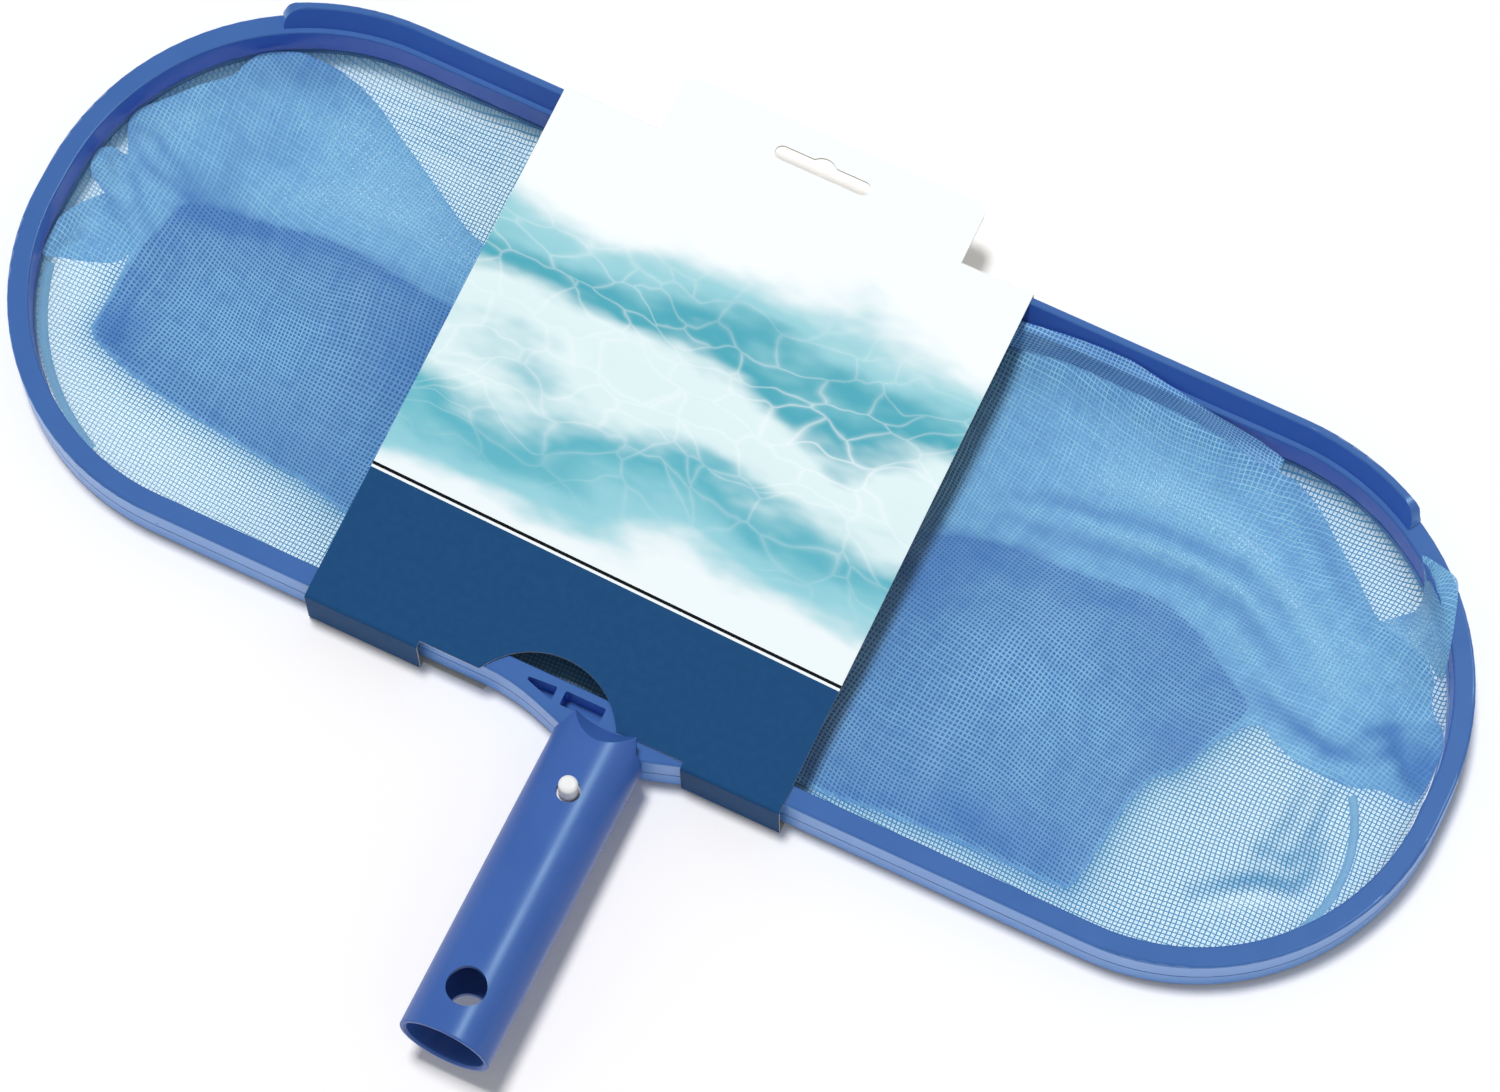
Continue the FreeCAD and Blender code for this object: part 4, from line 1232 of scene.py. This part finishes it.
        # Painted shadow of the folds on the lowest layer, fading away from their outlines
        for outline, (share, reach) in zip(self.outlines(2.0), self.painted_fold_shadows):
            distance, _ = edge_distance(outline, heap.x, heap.y)
            tones = tones + share * np.exp(-distance / reach)
        paler, below, width = self.floor_pale
        tones = tones - paler / (1 + np.exp((heap.x - below) / width))
        rises = self.rises(self.floor_creases, share=0.6, seed=11)
        level = np.clip(self.floor_height + rises, BED_LEVEL, None)
        distance, _ = edge_distance(self.ring, heap.x, heap.y)
        lift, reach = self.floor_border
        border = level + lift * np.exp(-distance / reach)
        heap.top = np.where(within(self.ring, heap.x, heap.y), border, BED_LEVEL)
        return Relief(heap.low, heap.step, level, np.clip(tones, *self.floor_tones))

    def build_floor(self, finish: Material) -> Piece:
        """Makes the lowest layer, a single sheet whose border runs up the frame's inner wall.

        Args:
            finish: Its finish.

        Returns:
            The piece.
        """
        relief = self.base()
        plan, triangles, _ = fill_outline(self.ring, self.step)
        climb = self.climb(plan)
        level = relief.sample(relief.heights, plan)
        points = np.column_stack([plan, level + (self.border_top - level) * climb])
        tones = relief.sample(relief.tones, plan) * (1 - climb)
        return Sheet("bag_floor", points, triangles, relief.weave(plan), tones).make(finish)

    def fold(self, name: str, outline: list[Point], layers: tuple[Relief, Relief],
             finishes: tuple[Material, Material], open_span: Point) -> Piece:
        """One flattened fold of the bag: two layers that meet round its edge.

        Args:
            name: Name of the piece.
            outline: Even points round the fold.
            layers: Reliefs of the lower and of the upper layer.
            finishes: Finishes of the lower and of the upper layer.
            open_span: Stretch of X where the edges stay apart.

        Returns:
            The piece.
        """
        plan, triangles, edge_count = fill_outline(outline, self.step)
        count = len(plan)
        lower, upper = (relief.sample(relief.heights, plan) for relief in layers)
        upper = np.maximum(upper, lower + self.layer_apart)
        points = np.concatenate([np.column_stack([plan, level]) for level in (lower, upper)])
        edge_x = plan[:edge_count, 0]
        apart = (open_span[0] < edge_x) & (edge_x < open_span[1])
        joined = np.arange(count)
        joined[:edge_count] += np.where(apart, 0, count)
        above = np.array(triangles)
        below = above[:, ::-1]
        faces = [tuple(face) for face in (*joined[below], *(count + above))]
        weave = np.concatenate([relief.weave(plan)[part.ravel()] for relief, part in zip(layers, (below, above))])
        tones = np.concatenate([relief.sample(relief.tones, plan) for relief in layers])
        # Painted shade along the upper layer's edge, where the fold turns over
        tones[count:count + edge_count] += self.fold_edge_shade
        numbers = (0,) * len(triangles) + (1,) * len(triangles)
        piece = Sheet(name, points, faces, weave, tones, numbers, edge_count).make(*finishes)
        drop_loose(piece)
        return piece

    def build_folds(self, inner: Material, pocket: Material, cover: Material) -> tuple[Piece, Piece, Piece]:
        """Makes the pocket inside the cover, and the tuck beside them.

        Args:
            inner: Finish of the layers seen from below.
            pocket: Finish of the pocket's upper layer.
            cover: Finish of the cover's upper layer.

        Returns:
            The pocket, the cover and the tuck.
        """
        heap = self.heap
        pocket_line, cover_line = self.outlines(self.step)
        inmost, outmost = shifted(pocket_line, self.pocket_inset), shifted(cover_line, -self.cover_outset)
        petal = even_points(smooth_line(self.petal), self.step, closed=True)
        # Tones of the folds: painted shade in creases and painted highlight on ridges, with the pocket deeper for its
        # layers
        tone = self.tones((*self.fold_creases, *self.fold_blots))
        in_pocket = within(inmost, heap.x, heap.y)
        deeper = np.clip(np.where(in_pocket, tone + self.pocket_tone, tone + self.cover_tone), *self.fold_tones)
        flat = self.rises((), share=0.25, seed=31)
        cover_bed = heap.lay(outmost, flat, deeper)
        pocket_bed = heap.lay(inmost, flat, deeper)
        pocket_top = heap.lay(inmost, self.rises((), share=0.5, seed=41), deeper, loft=0.5)
        cover_top = heap.lay(outmost, self.rises(self.fold_creases, share=1.0, seed=51), deeper, loft=1.0)
        lower = self.fold("bag_pocket_fold", inmost, (pocket_bed, pocket_top), (inner, pocket), self.sleeve_span)
        upper = self.fold("bag_cover_fold", outmost, (cover_bed, cover_top), (inner, cover), self.sleeve_span)
        tuck_bed = heap.lay(petal, 0 * flat, tone, reach=5.0)
        tuck_top = heap.lay(petal, 0.5 * flat, tone, loft=0.8, reach=5.0)
        tuck = self.fold("bag_left_tuck", petal, (tuck_bed, tuck_top), (inner, cover), self.tuck_span)
        return lower, upper, tuck

    def build_flap(self, finish: Material) -> Piece:
        """Makes the single layer that lies over the ring at the right.

        It hangs from its outline as a taut skin would, and rests on the ring and the folds.

        Args:
            finish: Its finish.

        Returns:
            The piece.
        """
        spacing, step, margin, held, rounds = 1.2, 0.8, 2.4, 0.9, 260
        folds_top, ring_seat = 4.0, RING_TOP + 0.45
        outline = even_points(smooth_line(self.flap), spacing, closed=True)
        plan, triangles, edge_count = fill_outline(outline, spacing)
        low = plan.min(0) - margin
        x, y = plan_grid(low, step, np.ceil((plan.max(0) + margin - low) / step).astype(int) + 1)
        distance, level = edge_distance(outline, x, y)
        seat = np.where(within(ring_outline(WALL_INSET), x, y), folds_top, ring_seat)
        for _ in range(rounds):
            level = np.where(distance < held, level, np.maximum(seat, sum(around(level)) / 4))
        relief = Relief(tuple(low), step, level, 0 * level)
        heights = relief.sample(level, plan)
        heights[:edge_count] = [p[2] for p in outline]
        tones = self.flap_tone * waves(plan[:, 0], plan[:, 1], length=12.0, seed=5)
        points = np.column_stack([plan, heights])
        return Sheet("bag_right_flap", points, triangles, relief.weave(plan), tones).make(finish)

    def build_far_flap(self, finish: Material) -> Piece:
        """Makes the single layer that leans on the raised edge at the right.

        Args:
            finish: Its finish.

        Returns:
            The piece.
        """
        columns, lines = 64, 15
        rows = []
        for row in self.far_rows:
            line = np.array(even_points(list(row), 1.0, closed=False))
            places = np.linspace(0, 1, columns)
            rows.append(np.stack([np.interp(places, np.linspace(0, 1, len(line)), line[:, k]) for k in range(3)],
                                 axis=1))
        between = []
        for share in np.linspace(0, len(rows) - 1, lines):
            first = min(int(share), len(rows) - 2)
            between.append(rows[first] + (rows[first + 1] - rows[first]) * (share - first))
        grid = np.array(between)
        across = np.linalg.norm(np.diff(grid, axis=0, prepend=grid[:1]), axis=2).cumsum(axis=0)
        along = np.linalg.norm(np.diff(grid, axis=1, prepend=grid[:, :1]), axis=2).cumsum(axis=1)
        points = grid.reshape(-1, 3)
        weave = np.column_stack([along.ravel(), across.ravel()])
        tones = self.flap_tone * waves(points[:, 0], points[:, 1], length=16.0, seed=3)
        return Sheet("bag_far_flap", points, grid_faces(lines, columns), weave, tones).make(finish)

    def build_hem(self, finish: Material) -> Piece:
        """Doubled hem band that comes out between the halves and bends down the inner wall.

        Args:
            finish: Its finish.

        Returns:
            The piece.
        """
        ripple_height, ripple_length, calm_rows = 0.1, 2.7, 3
        base = ring_outline(0.0)
        gaps = np.linalg.norm(np.diff(base, axis=0, append=base[:1]), axis=1)
        round_it = np.concatenate(([0.0], np.cumsum(gaps)))[:-1]
        points, weave, down = [], [], 0.0
        for k, (inset, height) in enumerate(self.hem_profile):
            down += math.dist(self.hem_profile[k], self.hem_profile[max(k - 1, 0)])
            ripple = ripple_height * np.sin(round_it / ripple_length + k) * min(1.0, k / calm_rows)
            points += [(*place, height) for place in shifted(base, (inset + ripple)[:, None])]
            weave += [(along, down) for along in round_it]
        faces = grid_faces(len(self.hem_profile), len(base), closed=True)
        return Sheet("hem_band", np.array(points), faces, np.array(weave)).make(finish, node="net_hem")

    def build_tapes(self, finish: Material) -> Piece:
        """Folded binding tapes over the two end seams.

        Args:
            finish: Their finish.

        Returns:
            The piece.
        """
        steps, pucker, pucker_pace, wall_rise = 44, 0.12, 0.4, 4.2
        points, weave, faces = [], [], []
        for x, y, bow, first, last in self.tape_arcs:
            faces += grid_faces(len(self.tape_profile), steps + 1, len(points))
            for share, rise in self.tape_profile:
                reach = bow - self.tape_width * share
                for i in range(steps + 1):
                    turn = math.radians(first + (last - first) * i / steps)
                    height = self.tape_level + rise + pucker * math.sin(i * pucker_pace)
                    points.append((x + reach * math.cos(turn), y + reach * math.sin(turn), height))
                    weave.append((bow * turn, self.tape_width * share))
        places = np.array(points)
        places[:, 2] += wall_rise * self.climb(places)
        sheet = Sheet("binding_tapes", places, faces, np.array(weave))
        return sheet.make(finish, slot=Slot.TAPE, node="seam_tapes")

    def build(self) -> None:
        """Makes the whole bag."""
        light, inner, pocket, cover, wing, lean, dense, tape = (cloth.build() for cloth in self.cloths)
        floor = self.build_floor(light)
        hem = self.build_hem(dense)
        tapes = self.build_tapes(tape)
        lower, upper, tuck = self.build_folds(inner, pocket, cover)
        flaps = [self.build_flap(wing), self.build_far_flap(lean)]


@dataclass
class Dressing:
    """Finishes of the CAD pieces that stay as they are."""

    nodes: dict[str, Piece]
    # The frame's walls get a deeper, bluer painted shade inwards and a lighter painted reflection of the floor
    # outwards; the spigot's and the clip's walls get a darker painted shade
    frame: MouldedPlastic = MouldedPlastic(
        "frame_plastic", (0.058, 0.153, 0.42, 1.0), (0.05, 0.136, 0.39, 1.0), (0.035, 0.115, 0.62, 1.0),
        (0.15, 0.36, 0.82, 1.0))
    spigot: MouldedPlastic = MouldedPlastic(
        "spigot_plastic", (0.056, 0.135, 0.42, 1.0), (0.046, 0.118, 0.385, 1.0), (0.032, 0.112, 0.43, 1.0),
        (0.032, 0.112, 0.43, 1.0), roughness=0.34, shine=0.24)
    clip: MouldedPlastic = MouldedPlastic(
        "clip_plastic", srgb(246, 246, 244), srgb(238, 238, 236), srgb(232, 232, 232), srgb(232, 232, 232),
        roughness=0.36)

    def wear(self, material: Material, *names: str) -> None:
        """Gives CAD nodes a finish.

        Args:
            material: The finish.
            *names: Names of the nodes.
        """
        for name in names:
            mesh = self.nodes[name].data
            mesh.materials.clear()
            mesh.materials.append(material)
            LOG.info("%s wears %s", name, material.name)

    def build(self) -> None:
        """Dresses every rigid node."""
        self.wear(self.frame.build(), "upper_frame", "lower_frame")
        self.wear(self.spigot.build(), "pole_spigot")
        self.wear(self.clip.build(), "clip_bend", "upper_button_arm", "lower_button_arm")
        self.wear(BrushedSteel().build(), "bracket_screws")
        self.wear(PrintedBoard().build(), "board_sleeve")


@dataclass
class Studio:
    """Floor, lamps and camera. Angles are in degrees, places in metres."""

    eye: Point = (0.291687, -0.512454, 1.857722)
    azimuth: float = 27.372
    elevation: float = 71.734
    roll: float = -1.774
    focal_pixels: float = 6610.84
    photo_width: int = 1500
    sensor_width: float = 36.0
    aim: Point = (0.0, 0.02, 0.0)
    daylight: Point = (0.97, 0.985, 1.0)
    room_strength: float = 0.34
    sun_strength: float = 2.25
    sun_width: float = 10.0
    sun_elevation: float = 81.5
    sun_bearing: Point = (-0.85, 0.53)
    sun_distance: float = 2.0
    strip_place: Point = (0.87, 0.56, 1.71)
    strip_size: Point = (0.09, 0.9)
    strip_colour: Point = (0.6, 0.88, 1.0)
    strip_power: float = 36.0
    floor_size: float = 12.0
    floor_level: float = -0.1 * MM

    def build_camera(self) -> None:
        """Camera at the photograph's viewing angle."""
        turn, rise, lean = (math.radians(v) for v in (self.azimuth, self.elevation, self.roll))
        back = Vector((math.sin(turn) * math.cos(rise), -math.cos(turn) * math.cos(rise), math.sin(rise)))
        level = Vector((math.cos(turn), math.sin(turn), 0.0))
        upward = back.cross(level)
        right = level * math.cos(lean) + upward * math.sin(lean)
        top = -level * math.sin(lean) + upward * math.cos(lean)
        data = bpy.data.cameras.new("camera")
        data.sensor_width = self.sensor_width
        data.sensor_fit = "HORIZONTAL"
        data.lens = self.focal_pixels / self.photo_width * self.sensor_width
        data.clip_start, data.clip_end = 0.05, 20.0
        bpy.context.scene.camera = stand(data, self.eye, (right, top, back))

    def hang(self, data: bpy.types.Light, place: Point) -> Piece:
        """Hangs a lamp at a place, facing the part, with its length along the spigot.

        Args:
            data: The lamp.
            place: Its place.

        Returns:
            The lamp's object.
        """
        away = (Vector(place) - Vector(self.aim)).normalized()
        across = Vector((0.0, 1.0, 0.0)).cross(away).normalized()
        return stand(data, place, (across, away.cross(across), away))

    def build_lamps(self) -> None:
        """Soft high light from the left, and a narrow strip that only glints."""
        sun = bpy.data.lights.new("high_light", "SUN")
        sun.energy, sun.angle, sun.color = self.sun_strength, math.radians(self.sun_width), self.daylight
        rise = math.radians(self.sun_elevation)
        x, y = (self.sun_distance * share * math.cos(rise) for share in self.sun_bearing)
        high = self.hang(sun, (x, y + self.aim[1], self.sun_distance * math.sin(rise)))
        high.visible_glossy = False
        glint = bpy.data.lights.new("strip", "AREA")
        glint.shape = "RECTANGLE"
        glint.size, glint.size_y = self.strip_size
        glint.color, glint.energy = self.strip_colour, self.strip_power
        strip = self.hang(glint, self.strip_place)
        strip.visible_diffuse = False

    def build_floor(self) -> None:
        """Wide plain floor under the part."""
        bpy.ops.object.select_all(action="DESELECT")
        bpy.ops.mesh.primitive_plane_add(size=self.floor_size, location=(0.0, 0.0, self.floor_level))
        floor = bpy.context.object
        floor.name = "studio_floor"
        floor.data.materials.append(WhiteGround().build())

    def build(self) -> None:
        """Sets up the whole studio."""
        scene = bpy.context.scene
        scene.view_settings.view_transform = "Standard"
        world = bpy.data.worlds.new("soft_room")
        world.use_nodes = True
        room = world.node_tree.nodes["Background"].inputs
        room["Color"].default_value = (*self.daylight, 1.0)
        room["Strength"].default_value = self.room_strength
        scene.world = world
        self.build_floor()
        self.build_lamps()
        self.build_camera()


def main() -> None:
    """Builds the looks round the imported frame."""
    logging.basicConfig(level=logging.INFO, format="%(message)s")
    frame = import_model()
    Dressing(frame["nodes"]).build()
    FoldedBag().build()
    Studio().build()


if __name__ == "__main__":
    main()
